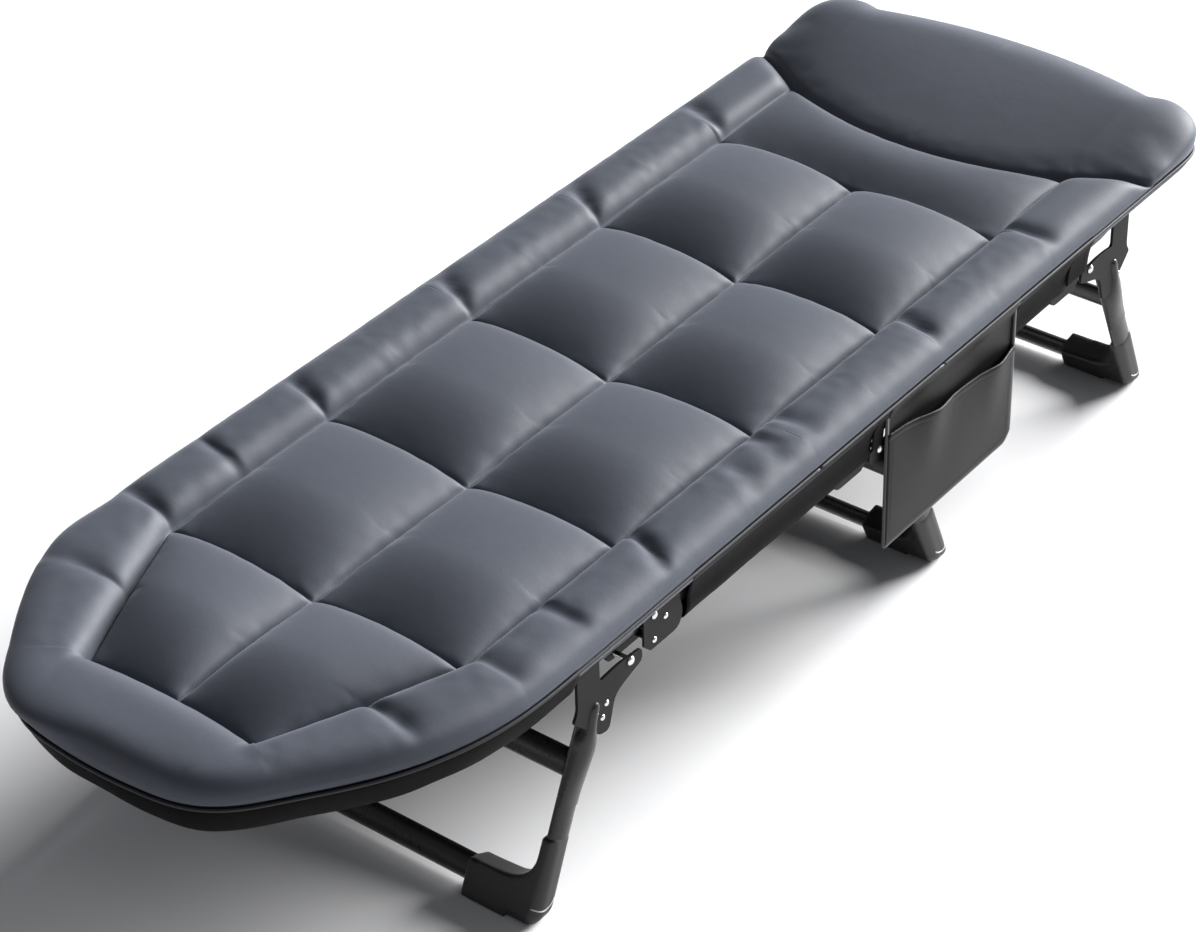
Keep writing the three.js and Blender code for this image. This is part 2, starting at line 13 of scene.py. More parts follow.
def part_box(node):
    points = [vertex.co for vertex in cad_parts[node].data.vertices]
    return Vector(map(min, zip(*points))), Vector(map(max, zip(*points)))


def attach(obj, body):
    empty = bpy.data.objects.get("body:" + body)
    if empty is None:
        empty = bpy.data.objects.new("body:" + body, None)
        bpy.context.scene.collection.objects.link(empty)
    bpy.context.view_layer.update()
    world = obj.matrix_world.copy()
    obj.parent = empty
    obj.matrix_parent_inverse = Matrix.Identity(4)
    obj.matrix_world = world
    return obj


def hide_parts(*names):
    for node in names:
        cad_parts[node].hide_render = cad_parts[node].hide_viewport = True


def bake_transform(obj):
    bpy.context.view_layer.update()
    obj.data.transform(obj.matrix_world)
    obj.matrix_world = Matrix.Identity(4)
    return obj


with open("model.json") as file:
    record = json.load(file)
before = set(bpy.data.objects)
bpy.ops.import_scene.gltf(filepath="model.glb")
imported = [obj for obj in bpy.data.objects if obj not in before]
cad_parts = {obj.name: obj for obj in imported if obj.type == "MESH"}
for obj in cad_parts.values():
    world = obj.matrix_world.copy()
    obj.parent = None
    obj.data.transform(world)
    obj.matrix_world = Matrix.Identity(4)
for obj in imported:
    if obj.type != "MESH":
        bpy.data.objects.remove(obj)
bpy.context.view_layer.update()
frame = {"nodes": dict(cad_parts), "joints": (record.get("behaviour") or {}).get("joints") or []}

# ------------------------------------------------------------------ plan of the pad, in metres
# Columns are numbered by c: 0 is the middle seam, +-1 the side seams, +-2 the piping.
# Rows are numbered by r: -1 is the foot's edge, 0 to 5 the cross seams, 6 the pillow's seam, and 7 the
# head's edge.

HALF_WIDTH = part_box("mattress_main")[1].x
PILLOW_FRONT_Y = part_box("pillow")[0].y
PILLOW_TOP_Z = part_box("pillow")[1].z
PAD_BOTTOM_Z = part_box("mattress_main")[0].z
HINGES = {joint["name"]: Vector(joint["pos_m"]) for joint in frame["joints"]}

LAST_SEAM, PILLOW_SEAM, HEAD_EDGE = 5, 6, 7
SEAM_ROWS_Y = (-0.825, -0.596, -0.320, -0.046, 0.227, 0.497)   # cross seams, foot to head
SIDE_ROWS_Y = (-0.600, *SEAM_ROWS_Y[2:])    # where cross seams 1 to 5 would meet the piping
SIDE_SEAM_X = 0.221
FOOT_SEAM_X = 0.125            # half length of the last cross seam at the foot
FOOT_SEAM_BOW = 0.010          # the same seam is this far further out at its ends
PILLOW_SEAM_RADIUS = 0.482     # the pillow's front seam is one round arc
FOOT_SIDE_Y, FOOT_CORNER_Y = -0.878, -0.928    # on the outline, round the foot seam's end
FOOT_EDGE_X = 0.100
HEAD_CORNER_Y = 0.905

# The pad is cut in three stretches, (end, lowest y, highest y), along two cross seams. None is the middle.
SPLIT_Y = (SEAM_ROWS_Y[3], SEAM_ROWS_Y[4])
BEYOND = 2.0                   # further along Y than any point of the bed
STRETCHES = (("foot", -BEYOND, SPLIT_Y[0]), (None, *SPLIT_Y), ("head", SPLIT_Y[1], BEYOND))
PAD_NODES = {"foot": ["mattress_foot"], None: ["mattress_main"], "head": ["mattress_head", "pillow"]}

# Mesh lines from one seam to the next: how many, and how strongly they crowd at both ends.
CELL_COLUMNS, BORDER_COLUMNS = (22, 0.82), (12, 0.55)
HALF_CELL_ROWS, END_ROWS = (13, 0.75), (11, 0.55)
NECK_ROWS, PILLOW_ROWS = (14, 0.55), (24, 0.60)

# The outline comes from the CAD's slabs, each end's points ordered round a point inside it.
FOOT_CENTRE_Y, HEAD_CENTRE_Y = -0.55, 0.75
OUTLINE_STEP, OUTLINE_PASSES = 0.005, 12
ROUNDING_PASSES = 3
TINY = 1e-5

# ------------------------------------------------------------------ height of the pad

SEAM_Z, PILLOW_SEAM_Z = 0.355, 0.357
CELL_RISE = 0.013              # round crown of a cell
CELL_WEDGE = 0.022             # each cell also climbs this much from its foot seam, then drops
WEDGE_CLIMB, WEDGE_DROP = 0.130, 0.017     # lengths of that climb and drop
CELL_MIDDLES = (0.5, 1.5, 2.5, 3.5, 4.5)
CELL_ACROSS = (2.1, 0.60)      # puff() shape across a cell, and across the neck
NECK_ACROSS = (7, 0.5)
BORDER_RISE = 0.026
BORDER_CLIMB = 0.28            # share of the border's width in which it rises
NECK_RISE = 0.019
NECK_CLIMB, NECK_DROP = 0.7, 0.16          # shares of the neck's length
NECK_END = (0.80, 1.0)         # the border sinks to the pillow's seam here
PILLOW_STEP, PILLOW_STEP_LENGTH = 0.14, 0.08    # the pillow's steep front, as shares of its rise and length
PILLOW_SLOPE = 1.7
PILLOW_SPARE = 0.006           # the rounding of its edge takes this much off the pillow's top
SAG = 0.007                    # the cells lie this much lower in the middle of the bed
SAG_START = 0.5                # and the sag begins over this length at each end

EDGE_Z = 0.3525                # lower edge of the pad's grey cover, above the piping
EDGE_ROUND = 0.044             # width of the rounded shoulder next to the piping
FOOT_ROUND_EDGE = 0.032
PILLOW_ROUND, PILLOW_END_ROUND = 0.062, 0.100
FOOT_OVERHANG = 0.017          # the cover bulges this far over the piping at the foot's left corner
PILLOW_OVERHANG = 0.010        # and at the pillow's ends

# Where each of these takes over, as (start, end) in y, x, rows or columns.
FOOT_EDGE_Y, FOOT_BULGE_Y, FOOT_BULGE_X = (-0.60, -0.75), (-0.60, -0.70), (0.0, -0.12)
PILLOW_EDGE_ROWS, PILLOW_BULGE_ROWS, PILLOW_BULGE_COLUMNS = (5.8, 6.4), (5.9, 6.2), (1.0, 1.5)
PILLOW_END_ROWS, PILLOW_END_COLUMNS = (6.4, 6.9), (1.8, 0.7)

# Pinched creases across the border: (side, y at the seam, y at the outer end, depth).
BORDER_CREASES = (
    (-1, -0.720, -0.728, 0.30), (-1, -0.592, -0.580, 0.55), (-1, -0.472, -0.452, 0.40),
    (-1, -0.318, -0.290, 0.55), (-1, -0.040, 0.005, 0.60), (-1, 0.230, 0.285, 0.60),
    (-1, 0.510, 0.540, 0.55),
    (1, -0.712, -0.732, 0.55), (1, -0.585, -0.592, 0.35), (1, -0.470, -0.482, 0.40),
    (1, -0.305, -0.345, 0.60), (1, -0.130, -0.158, 0.35), (1, -0.068, -0.098, 0.40),
    (1, -0.020, -0.010, 0.30), (1, 0.250, 0.232, 0.65), (1, 0.512, 0.515, 0.50),
)
CREASE_WIDTH, CREASE_WIDENING = 0.0052, 1.2
CREASE_BOW, CREASE_SHARPNESS = 1.5, 1.4
CREASE_DEPTH = 0.8             # share of the border's rise that a crease of depth 1 takes away
CREASE_FADE = 0.55             # a crease starts to run out at this share of the border's width

# Stuffing is simulated as cloth under pressure, held at its seams.
PRESSURE, SIM_FRAMES, SIM_QUALITY = 4.0, 20, 5
CLOTH_MASS, CLOTH_STIFFNESS, CLOTH_GROWTH = 0.2, 0.3, -0.004
SIM_SHARE, SIM_CAP = 0.35, 0.0022      # how much of the swelling is kept, and the most of it

GROOVE_DEPTH, GROOVE_WIDTH = 0.0030, 0.0045
GATHER, GATHER_REACH = 0.0009, 0.022   # small gathers beside the seams
GATHER_SCALE, GATHER_SLICE = 55, 3.1   # of their noise
CELL_PITCH = 0.273
HEAD_PITCH_SHARE = 0.4         # rows past the last cross seam are about this share of that end
BORDER_SHARE = 0.095           # beside the side seams the groove spreads out over the border
PILLOW_GROOVE_ROW = 5.9        # on the border, cross grooves start here

BASE_INSET, BASE_RAISE = 0.005, 0.001      # the pad's underside is this much smaller, and above the CAD's
PAD_WALL = ((-0.0035, 0.3505), (-0.0048, 0.3450), (-0.0045, 0.3380),       # outward of the outline, z
            (-BASE_INSET, PAD_BOTTOM_Z + BASE_RAISE))
LEVEL_NORMAL = 0.9             # a face whose normal is this near upright counts as level

# ------------------------------------------------------------------ sewn cloth

PIPING_Z, PIPING_RADIUS = 0.3465, 0.0022
PIPING_SIDES = 10
PIPING_STEP, SLEEVE_STEP, FLAP_STEP = 0.005, 0.008, 0.005      # between points along the outline
CLOTH_THICKNESS = 0.0012
THREAD_WAVE = 0.314            # a wave texture of scale 1 repeats after this many metres

# Sleeves are (outward from the pad's outline, z) round the tubes; a stretch is (lowest y, highest y).
MAIN_SLEEVE = ((-0.0020, 0.3455), (-0.004, 0.337), (-0.0105, 0.322), (-0.0145, 0.304), (-0.0147, 0.285),
               (-0.019, 0.272), (-0.031, 0.267), (-0.042, 0.271), (-0.0465, 0.290), (-0.0460, 0.327))
FOOT_SLEEVE = ((-0.0020, 0.3455), (-0.003, 0.335), (-0.010, 0.315), (-0.018, 0.300), (-0.031, 0.2965),
               (-0.045, 0.308), (-0.045, 0.327))
HEAD_SLEEVE = ((-0.0020, 0.3455), (-0.004, 0.338), (-0.018, 0.331), (-0.040, 0.325), (-0.0455, 0.306),
               (-0.056, 0.298), (-0.068, 0.306), (-0.070, 0.327))
FLAP = ((-0.0020, 0.3455), (-0.004, 0.337), (-0.0095, 0.324), (-0.0120, 0.306), (-0.0125, 0.289))
MAIN_SLEEVE_STRETCHES = ((-0.294, 0.088), (0.220, 0.550))
FLAP_STRETCHES = ((0.087, 0.112), (0.549, 0.600))     # where only the sleeves' outer side goes on
FOOT_SLEEVE_Y, HEAD_SLEEVE_Y = -0.510, 0.745
FOOT_TUBE_INSET, HEAD_TUBE_INSET = 0.020, 0.035       # from the outline to the middle of its sleeve
MAIN_RIPPLE, END_RIPPLE = 0.0016, 0.0030
RIPPLE_SCALE, RIPPLE_OFFSET = (14, 14, 9), Vector((31, 7, 2))

FOOT_PANEL_Y, HEAD_PANEL_Y = -0.905, 0.880
PANEL_Z, PANEL_DIP = 0.3285, 0.003
DIP_STEADY, DIP_WAVE, DIP_WAVE_RATE = 0.6, 0.4, 9     # the dip comes and goes along the bed
PANEL_HALF = 0.2725
PANEL_INSET, HEAD_PANEL_INSET = 0.0445, 0.069
PANEL_STEP, PANEL_COLUMNS = 0.012, 49

# Pocket: u runs from its foot edge to its head edge, v from the bottom to the rim.
POCKET_LOW, POCKET_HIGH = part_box("pocket_back")[0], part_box("pocket_front")[1]
POCKET_BACK_TOP = 0.3455
POCKET_COLUMNS, POCKET_LINES = 61, 41
POCKET_EDGE = 0.001            # the sheets stop this far inside the CAD pocket
POCKET_CUT = 0.012             # its lower corner at the head is cut off by this much
POCKET_GAP, POCKET_TUCK = 0.0025, 0.004    # the sleeve stays this far behind it, and as far past its end
RIM = ((0, 0.300), (0.12, 0.2985), (0.30, 0.292), (0.45, 0.2835), (0.56, 0.2815), (0.75, 0.279), (1, 0.273))
FRONT_INSET, FRONT_BELLY = 0.0075, 0.004
BELLY_ARCH = 0.62              # the belly is fullest at v = 0.5 divided by this
FRONT_LOBES = ((0.0110, 0.32, 0.12), (0.0100, 0.84, 0.11))    # (how far out, middle u, width)
LOBE_CLIMB = 2.5               # power of v by which the lobes grow towards the rim
FRONT_FOLDS, FOLD_RATE, FOLD_PHASE = 0.0012, 9.5, 1.0
BACK_INSET, BACK_FOLDS, BACK_FOLD_RATE = 0.0010, 0.0012, 5
BACK_LEAN_Z = (0.316, 0.346)   # the back sheet leans out to the piping between these heights
BACK_LEAN_END = 0.0025         # and ends this far inside the outline
BINDING_WIDTH, BINDING_THICKNESS = 0.0055, 0.0030
BINDING_RING = ((-0.5, 0), (-0.45, 1), (0, 1.15), (0.45, 1), (0.5, 0), (0.45, -1), (0, -1.15), (-0.45, -1))
BINDING_WRAP = 0.002           # cloth from one point of the ring to the next
BINDING_START, BINDING_FULL, BINDING_BACK = 25, 35, 25    # points from its ends where it moves outwards
BINDING_INSET = 0.002
HEM_WIDTH, HEM_DROP, HEM_STITCH_DROP = 0.010, 0.004, 0.0105
POCKET_STITCH_LIFT = 0.0008

STITCH_PITCH, STITCH_LENGTH = 0.0042, 0.0032
STITCH_WIDTH, STITCH_HEIGHT, STITCH_SINK = 0.0008, 0.0004, 0.0004
STITCH_FACES = ((0, 2, 4), (0, 4, 3), (1, 4, 2), (1, 3, 4), (0, 3, 2), (1, 2, 3))
SEAM_SAMPLES, CROSS_SEAM_SAMPLES = 160, 120
SEAM_NUDGE = 1e-4              # thread in a cut seam goes with the end piece

# ------------------------------------------------------------------ hardware

# Rivets: on a foot bracket (distance from the leg's pivot towards the head, z), on a leg plate (y, z) from
# its pivot. The sleeves cover the rivets of the other brackets.
BRACKET_RIVETS = ((0.047, 0.280), (0.069, 0.301))
LATER_LEG_RIVETS = ((0.072, -0.032), (0.080, -0.048))
PLATE_RIVETS = {"foot_leg": ((-0.046, -0.032), (-0.054, -0.048)),
                "middle_leg": LATER_LEG_RIVETS, "head_leg": LATER_LEG_RIVETS}
LEG_SIDES = list(itertools.product(PLATE_RIVETS, (("right", 1), ("left", -1))))
BRACKET_FACE_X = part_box("foot_bracket_right")[1].x
PLATE_FACE_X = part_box("foot_leg_plate_right")[1].x
RIVET_PROFILE = ((0.0019, 0.0004), (0.0018, 0.0014), (0.0015, 0.0026), (0.0008, 0.0035), (0.0002, 0.0039),
                 (0.0, 0.0040))        # (height, radius)
RIVET_SIDES = 20

# The head of a leg tube, at these places along the tube from its middle.
TUBE_FACE_X, TUBE_HALF_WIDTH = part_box("foot_leg_tube_right")[1].x + 0.0002, 0.0181
TUBE_HEAD_BASE_X, TUBE_HEAD_FACE_X, TUBE_HEAD_HALF_WIDTH = 0.290, 0.3060, 0.0105
TUBE_HEAD_NOSE = (0.078, 0.012)        # where the round nose starts, and its length
TUBE_HEAD_DRIFT = 0.009                # the nose lies this far off the tube's centre line
TUBE_HEAD_STATIONS = (-0.048, -0.036, -0.024, -0.012, 0.0, 0.010, 0.020, 0.028, 0.034, 0.040, 0.046, 0.052,
                      0.058, 0.064, 0.071, 0.078, 0.082, 0.086, 0.0885, 0.0898)
TUBE_HEAD_CLIMB, TUBE_HEAD_TAPER, TUBE_HEAD_TURN = (-0.048, 0.032), (0.032, 0.058), (0.020, 0.080)
TUBE_HEAD_COLUMNS, TUBE_HEAD_FULLNESS = 17, 0.8

FOOT_VOXEL, FOOT_SMOOTH_PASSES = 0.0028, 14
FOOT_ROUND = 0.016
FOOT_TOE_Z, FOOT_NECK_Z = 0.020, 0.110 # a foot's lean is measured below one and above the other
FOOT_OUTER_REACH = 0.045
# A painted highlight: the bright strip round each foot's outer face, just above its rounded bottom.
FOOT_LINE_HALF, FOOT_LINE_Z, FOOT_LINE_RISE = 0.016, 0.019, 0.007
FOOT_LINE_WIDTH, FOOT_LINE_THICKNESS, FOOT_LINE_POINTS = 0.0018, 0.0010, 25
FOOT_LINE_BAND = (0.03, 0.02)          # points this low, and this near the outer face, give its middle
OUTSIDE_X = 0.4                        # outside the bed

EDGE_RADIUS, EDGE_SEGMENTS, EDGE_ANGLE = 0.0006, 2, math.radians(35)
NODE_MATERIALS = {"tube_paint": "tube", "plate_paint": "plate", "pin_steel": "steel"}

# ------------------------------------------------------------------ camera, floor and light

IMAGE_WIDTH = 1200
SENSOR_WIDTH = 36.0            # in millimetres
CAMERA_PLACE = Vector((2.0964, -2.7095, 2.6589))
CAMERA_AZIMUTH, CAMERA_ELEVATION, CAMERA_ROLL = (math.radians(a) for a in (38.411, 35.748, -1.644))
FOCAL_PIXELS = 3308.7
KEY_FROM = Vector((0.60, 2.4, 0.92))
KEY_STRENGTH, KEY_SPREAD = 11.0, math.radians(36)
SKY_COLOUR, SKY_STRENGTH = (0.93, 0.95, 1.0, 1), 0.20
FLOOR_HALF = 20

# ------------------------------------------------------------------ small helpers


def graded(count, pull):
    """Parameters from 0 to 1, closer together at both ends."""
    t = np.arange(count + 1) / count
    return t - pull * np.sin(2 * np.pi * t) / (2 * np.pi)


def lerp(a, b, t):
    return a + (b - a) * t


def path_lengths(points):
    """Length from the first point of a line to each of its points."""
    return np.concatenate([[0], np.cumsum(np.linalg.norm(np.diff(points, axis=0), axis=1))])


def new_object(name, data):
    obj = bpy.data.objects.new(name, data)
    bpy.context.scene.collection.objects.link(obj)
    return obj


def smooth_faces(mesh):
    mesh.polygons.foreach_set("use_smooth", np.ones(len(mesh.polygons), bool))


def corner_points(mesh):
    """The number of each face corner's point."""
    corners = np.empty(len(mesh.loops), np.int32)
    mesh.loops.foreach_get("vertex_index", corners)
    return corners


def new_mesh(name, points, faces, uv=None, **maps):
    """Mesh object from points, and faces as lists of indices. uv gives each point's place on the flat
    cloth, and each further map two more numbers for each point."""
    mesh = bpy.data.meshes.new(name)
    mesh.from_pydata([tuple(map(float, p)) for p in points], [], [tuple(map(int, f)) for f in faces])
    corners = corner_points(mesh)
    for map_name, values in {"flat": uv, **maps}.items():
        if values is not None:
            layer = mesh.uv_layers.new(name=map_name)
            layer.data.foreach_set("uv", np.asarray(values, np.float32)[corners].ravel())
    smooth_faces(mesh)
    mesh.update()
    return new_object(name, mesh)


def grid_faces(rows, columns, wrap=False):
    """Quads of a rows x columns sheet of points. With wrap the last column joins the first."""
    index = np.arange(rows * columns).reshape(rows, columns)
    if wrap:
        index = np.hstack([index, index[:, :1]])
    quads = np.stack([index[:-1, :-1], index[:-1, 1:], index[1:, 1:], index[1:, :-1]], axis=-1)
    return quads.reshape(-1, 4)


def apply_modifiers(obj):
    """Replaces the object's mesh by what its modifiers make of it."""
    depsgraph = bpy.context.evaluated_depsgraph_get()
    made = bpy.data.meshes.new_from_object(obj.evaluated_get(depsgraph))
    obj.modifiers.clear()
    obj.data = made


def points_of(obj):
    return np.array([v.co for v in obj.data.vertices], float).reshape(-1, 3)


def set_points(obj, points):
    obj.data.vertices.foreach_set("co", np.asarray(points, np.float32).ravel())
    obj.data.update()


def surface_tree(obj):
    """Search tree for rays that meet the object's faces."""
    return BVHTree.FromPolygons([v.co.copy() for v in obj.data.vertices],
                                [tuple(p.vertices) for p in obj.data.polygons])


def face_outwards(obj, fill_holes=False):
    """Turns all faces outwards, after closing the open ends if asked."""
    work = bmesh.new()
    work.from_mesh(obj.data)
    if fill_holes:
        bmesh.ops.holes_fill(work, edges=[e for e in work.edges if e.is_boundary], sides=0)
    bmesh.ops.recalc_face_normals(work, faces=work.faces)
    work.to_mesh(obj.data)
    work.free()


# ------------------------------------------------------------------ profiles


def smooth_step(t):
    t = np.clip(t, 0, 1)
    return t * t * (3 - 2 * t)


def ramp_up(value, start, end):
    """Goes smoothly from 0, where value is start, to 1, where it is end."""
    return smooth_step((value - start) / (end - start))


def climb(t):
    """Leaves 0 at its steepest and is level, at 1, from t = 1."""
    return smooth_step(0.5 + 0.5 * t) * 2 - 1


def puff(t, power=2.1, fullness=0.68):
    """Profile of stuffing between two seams at t = 0 and t = 1."""
    return np.clip(1 - np.abs(2 * t - 1) ** power, 0, 1) ** fullness


def rise(t, power=2.2, fullness=0.6):
    """Profile that leaves a seam steeply at t = 0 and is level from t = 1."""
    return np.clip(1 - (1 - np.clip(t, 0, 1)) ** power, 0, 1) ** fullness


def rolled_edge(distance, width):
    """Round profile, 0 at the seam and 1 from the given width on."""
    return np.sqrt(1 - (1 - np.clip(distance / width, 0, 1)) ** 2)


# ------------------------------------------------------------------ materials


class Nodes:
    """A material's node tree, with short calls for the nodes used here."""

    def __init__(self, name):
        self.material = bpy.data.materials.new(name)
        self.material.use_nodes = True
        self.tree = self.material.node_tree
        self.shader = self.tree.nodes["Principled BSDF"]

    def add(self, kind, **values):
        node = self.tree.nodes.new(kind)
        for key, value in values.items():
            if key in node.inputs:
                node.inputs[key].default_value = value
            else:
                setattr(node, key, value)
        return node

    def link(self, source, target):
        self.tree.links.new(source, target)

    def place(self, fabric):
        """Where on the surface: metres on the flat cloth, or the object's own coordinates."""
        if fabric:
            return self.add("ShaderNodeUVMap", uv_map="flat").outputs["UV"]
        return self.add("ShaderNodeTexCoord").outputs["Object"]

    def noise(self, place, scale, detail=3.0, roughness=0.55):
        node = self.add("ShaderNodeTexNoise", Scale=scale, Detail=detail, Roughness=roughness)
        self.link(place, node.inputs["Vector"])
        return node.outputs["Fac"]

    def stripes(self, place, direction, scale, distortion=0.0):
        node = self.add("ShaderNodeTexWave", bands_direction=direction, Scale=scale, Distortion=distortion)
        self.link(place, node.inputs["Vector"])
        return node.outputs["Fac"]

    def combine(self, operation, a, b):
        node = self.add("ShaderNodeMath", operation=operation)
        for socket, value in zip(node.inputs, (a, b)):
            if isinstance(value, (int, float)):
                socket.default_value = value
            else:
                self.link(value, socket)
        return node.outputs[0]

    def blend_of(self, a, share_a, b, share_b):
        """Sum of shares of two values."""
        parts = [self.combine("MULTIPLY", value, share) for value, share in ((a, share_a), (b, share_b))]
        return self.combine("ADD", *parts)

    def ramp(self, source, stops):
        """A colour ramp over source, its stops given as (place, colour)."""
        node = self.add("ShaderNodeValToRGB")
        elements = node.color_ramp.elements
        for element, (position, colour) in zip(elements, (stops[0], stops[-1])):
            element.position = position
            element.color = colour
        for position, colour in stops[1:-1]:
            elements.new(position).color = colour
        self.link(source, node.inputs["Fac"])
        return node.outputs["Color"]

    def bump(self, height, distance, strength, below=None):
        node = self.add("ShaderNodeBump", Distance=distance, Strength=strength)
        self.link(height, node.inputs["Height"])
        if below is not None:
            self.link(below, node.inputs["Normal"])
        return node.outputs["Normal"]

    def finish(self, colour=None, roughness=None, normal=None, **constants):
        for name, value in constants.items():
            self.shader.inputs[name.replace("_", " ")].default_value = value
        for name, source in (("Base Color", colour), ("Roughness", roughness), ("Normal", normal)):
            if source is not None:
                self.link(source, self.shader.inputs[name])
        return self.material


def shade(colour, factor):
    return (*(channel * factor for channel in colour), 1.0)


def value_ramp(nodes, source, low, high):
    """A number that goes from low to high with source."""
    node = nodes.add("ShaderNodeMapRange")
    node.inputs["To Min"].default_value = low
    node.inputs["To Max"].default_value = high
    nodes.link(source, node.inputs["Value"])
    return node.outputs["Result"]


def cloth_material(name, colour, thread, depth, roughness, sheen=0.0, shine=0.22, mottle=0.10):
    """Woven cloth: crossed threads of the given pitch and depth, uneven dye, soft sheen."""
    nodes = Nodes(name)
    place = nodes.place(fabric=True)
    warp = nodes.stripes(place, "X", THREAD_WAVE / thread, 0.4)
    weft = nodes.stripes(place, "Y", THREAD_WAVE / thread, 0.4)
    weave = nodes.combine("ADD", warp, weft)
    patches = nodes.noise(place, 9.0, 4.0)
    fibres = nodes.noise(place, 900.0, 2.0)
    tone = nodes.blend_of(patches, 0.7, fibres, 0.3)
    base = nodes.ramp(tone, [(0.3, shade(colour, 1 - mottle)), (0.7, shade(colour, 1 + mottle))])
    rough = value_ramp(nodes, patches, roughness - 0.05, roughness + 0.05)
    soft = nodes.bump(nodes.noise(place, 55.0, 3.0), 0.0012, 0.25)
    normal = nodes.bump(weave, depth, 0.6, soft)
    return nodes.finish(base, rough, normal,
                        Sheen_Weight=sheen, Sheen_Roughness=0.45, Specular_IOR_Level=shine)


def painted_material(name, colour, roughness, metallic, shine):
    """Powder coat over steel: fine orange peel, and paler paint on worn edges."""
    nodes = Nodes(name)
    place = nodes.place(fabric=False)
    peel = nodes.noise(place, 700.0, 2.0)
    patches = nodes.noise(place, 25.0, 4.0)
    edges = nodes.add("ShaderNodeNewGeometry").outputs["Pointiness"]
    rubbed = nodes.ramp(edges, [(0.52, (0, 0, 0, 1)), (0.60, (1, 1, 1, 1))])
    worn = nodes.combine("MULTIPLY", rubbed, patches)
    plain = nodes.ramp(patches, [(0.3, shade(colour, 0.88)), (0.7, shade(colour, 1.12))])
    mix = nodes.add("ShaderNodeMix", data_type="RGBA")
    nodes.link(worn, mix.inputs["Factor"])
    nodes.link(plain, mix.inputs["A"])
    mix.inputs["B"].default_value = shade(colour, 2.2)
    rough = value_ramp(nodes, patches, roughness - 0.06, roughness + 0.08)
    normal = nodes.bump(peel, 0.0003, 0.35)
    return nodes.finish(mix.outputs["Result"], rough, normal, Metallic=metallic, Specular_IOR_Level=shine)


def steel_material(name):
    """Bright plated rivets and pins with fine turning marks."""
    nodes = Nodes(name)
    place = nodes.place(fabric=False)
    smudge = nodes.noise(place, 160.0, 3.0)
    base = nodes.ramp(smudge, [(0.3, (0.62, 0.63, 0.64, 1)), (0.7, (0.82, 0.82, 0.83, 1))])
    rough = value_ramp(nodes, smudge, 0.16, 0.34)
    normal = nodes.bump(nodes.noise(place, 1500.0, 2.0), 0.0002, 0.2)
    return nodes.finish(base, rough, normal, Metallic=1.0)


def plastic_material(name, colour, roughness=0.42):
    """Moulded plastic with a fine spark-eroded grain and scuffs."""
    nodes = Nodes(name)
    place = nodes.place(fabric=False)
    grain = nodes.noise(place, 1100.0, 2.0)
    scuffs = nodes.noise(place, 35.0, 5.0, 0.7)
    base = nodes.ramp(scuffs, [(0.35, shade(colour, 0.85)), (0.75, shade(colour, 1.25))])
    rough = value_ramp(nodes, scuffs, roughness - 0.08, roughness + 0.10)
    normal = nodes.bump(grain, 0.0003, 0.30)
    return nodes.finish(base, rough, normal, Specular_IOR_Level=0.5)


def microfibre_material(name, colour):
    """Brushed microfibre of the pad: very fine nap, cloudy tone, soft bluish sheen."""
    nodes = Nodes(name)
    place = nodes.place(fabric=True)
    clouds = nodes.noise(place, 6.0, 4.0)
    nap = nodes.noise(place, 420.0, 3.0, 0.65)
    tone = nodes.blend_of(clouds, 0.65, nap, 0.35)
    base = nodes.ramp(tone, [(0.35, shade(colour, 0.93)), (0.65, shade(colour, 1.07))])
    rough = value_ramp(nodes, nap, 0.50, 0.66)
    threads = nodes.combine("ADD", nodes.stripes(place, "X", THREAD_WAVE / 0.0011, 1.5),
                            nodes.stripes(place, "Y", THREAD_WAVE / 0.0011, 1.5))
    soft = nodes.bump(nodes.noise(place, 28.0, 3.0), 0.0018, 0.22)
    normal = nodes.bump(threads, 0.00006, 0.5, nodes.bump(nap, 0.00025, 0.35, soft))
    return nodes.finish(base, rough, normal, Sheen_Weight=0.16, Sheen_Roughness=0.35,
                        Sheen_Tint=(0.80, 0.86, 1.0, 1.0), Specular_IOR_Level=0.25)


MATERIALS = {
    "pad": microfibre_material("pad_microfibre", (0.066, 0.073, 0.092)),
    "oxford": cloth_material("black_oxford", (0.0025, 0.0025, 0.0026), thread=0.0010, depth=0.00012,
                             roughness=0.50, shine=0.035),
    "pocket": cloth_material("pocket_cloth", (0.009, 0.0091, 0.0094), thread=0.0008, depth=0.00008,
                             roughness=0.36, shine=0.12),
    "binding": cloth_material("binding_tape", (0.070, 0.072, 0.075), thread=0.0012, depth=0.00012,
                              roughness=0.55, sheen=0.10),
    "piping": cloth_material("piping_cord", (0.028, 0.029, 0.031), thread=0.0012, depth=0.00008,
                             roughness=0.45),
    "tube": painted_material("tube_powder_coat", (0.022, 0.022, 0.0225),
                             roughness=0.27, metallic=0.25, shine=0.45),
    "plate": painted_material("plate_powder_coat", (0.0045, 0.0045, 0.0046),
                              roughness=0.50, metallic=0.0, shine=0.16),
    "steel": steel_material("rivet_steel"),
    "plastic": plastic_material("foot_plastic", (0.014, 0.014, 0.0145)),
    "thread": plastic_material("seam_thread", (0.016, 0.018, 0.024), roughness=0.80),
    # painted highlight: the bright strip on each foot's outer face
    "inlay": plastic_material("foot_painted_highlight", (0.55, 0.56, 0.57), roughness=0.30),
}


def paint(obj, *names):
    obj.data.materials.clear()
    for name in names:
        obj.data.materials.append(MATERIALS[name])


# ------------------------------------------------------------------ outline of the pad, from the CAD


def top_outline(node, centre_y, towards):
    """Right half of a CAD slab's outline in plan, ordered round (0, centre_y) from the end's tip."""
    points = points_of(frame["nodes"][node])
    top = points[points[:, 2] > points[:, 2].max() - TINY][:, :2]
    half = np.unique(np.round(top[top[:, 0] > -TINY], 5), axis=0)
    angle = np.arctan2(half[:, 0], (half[:, 1] - centre_y) * towards)
    return half[np.argsort(angle)]


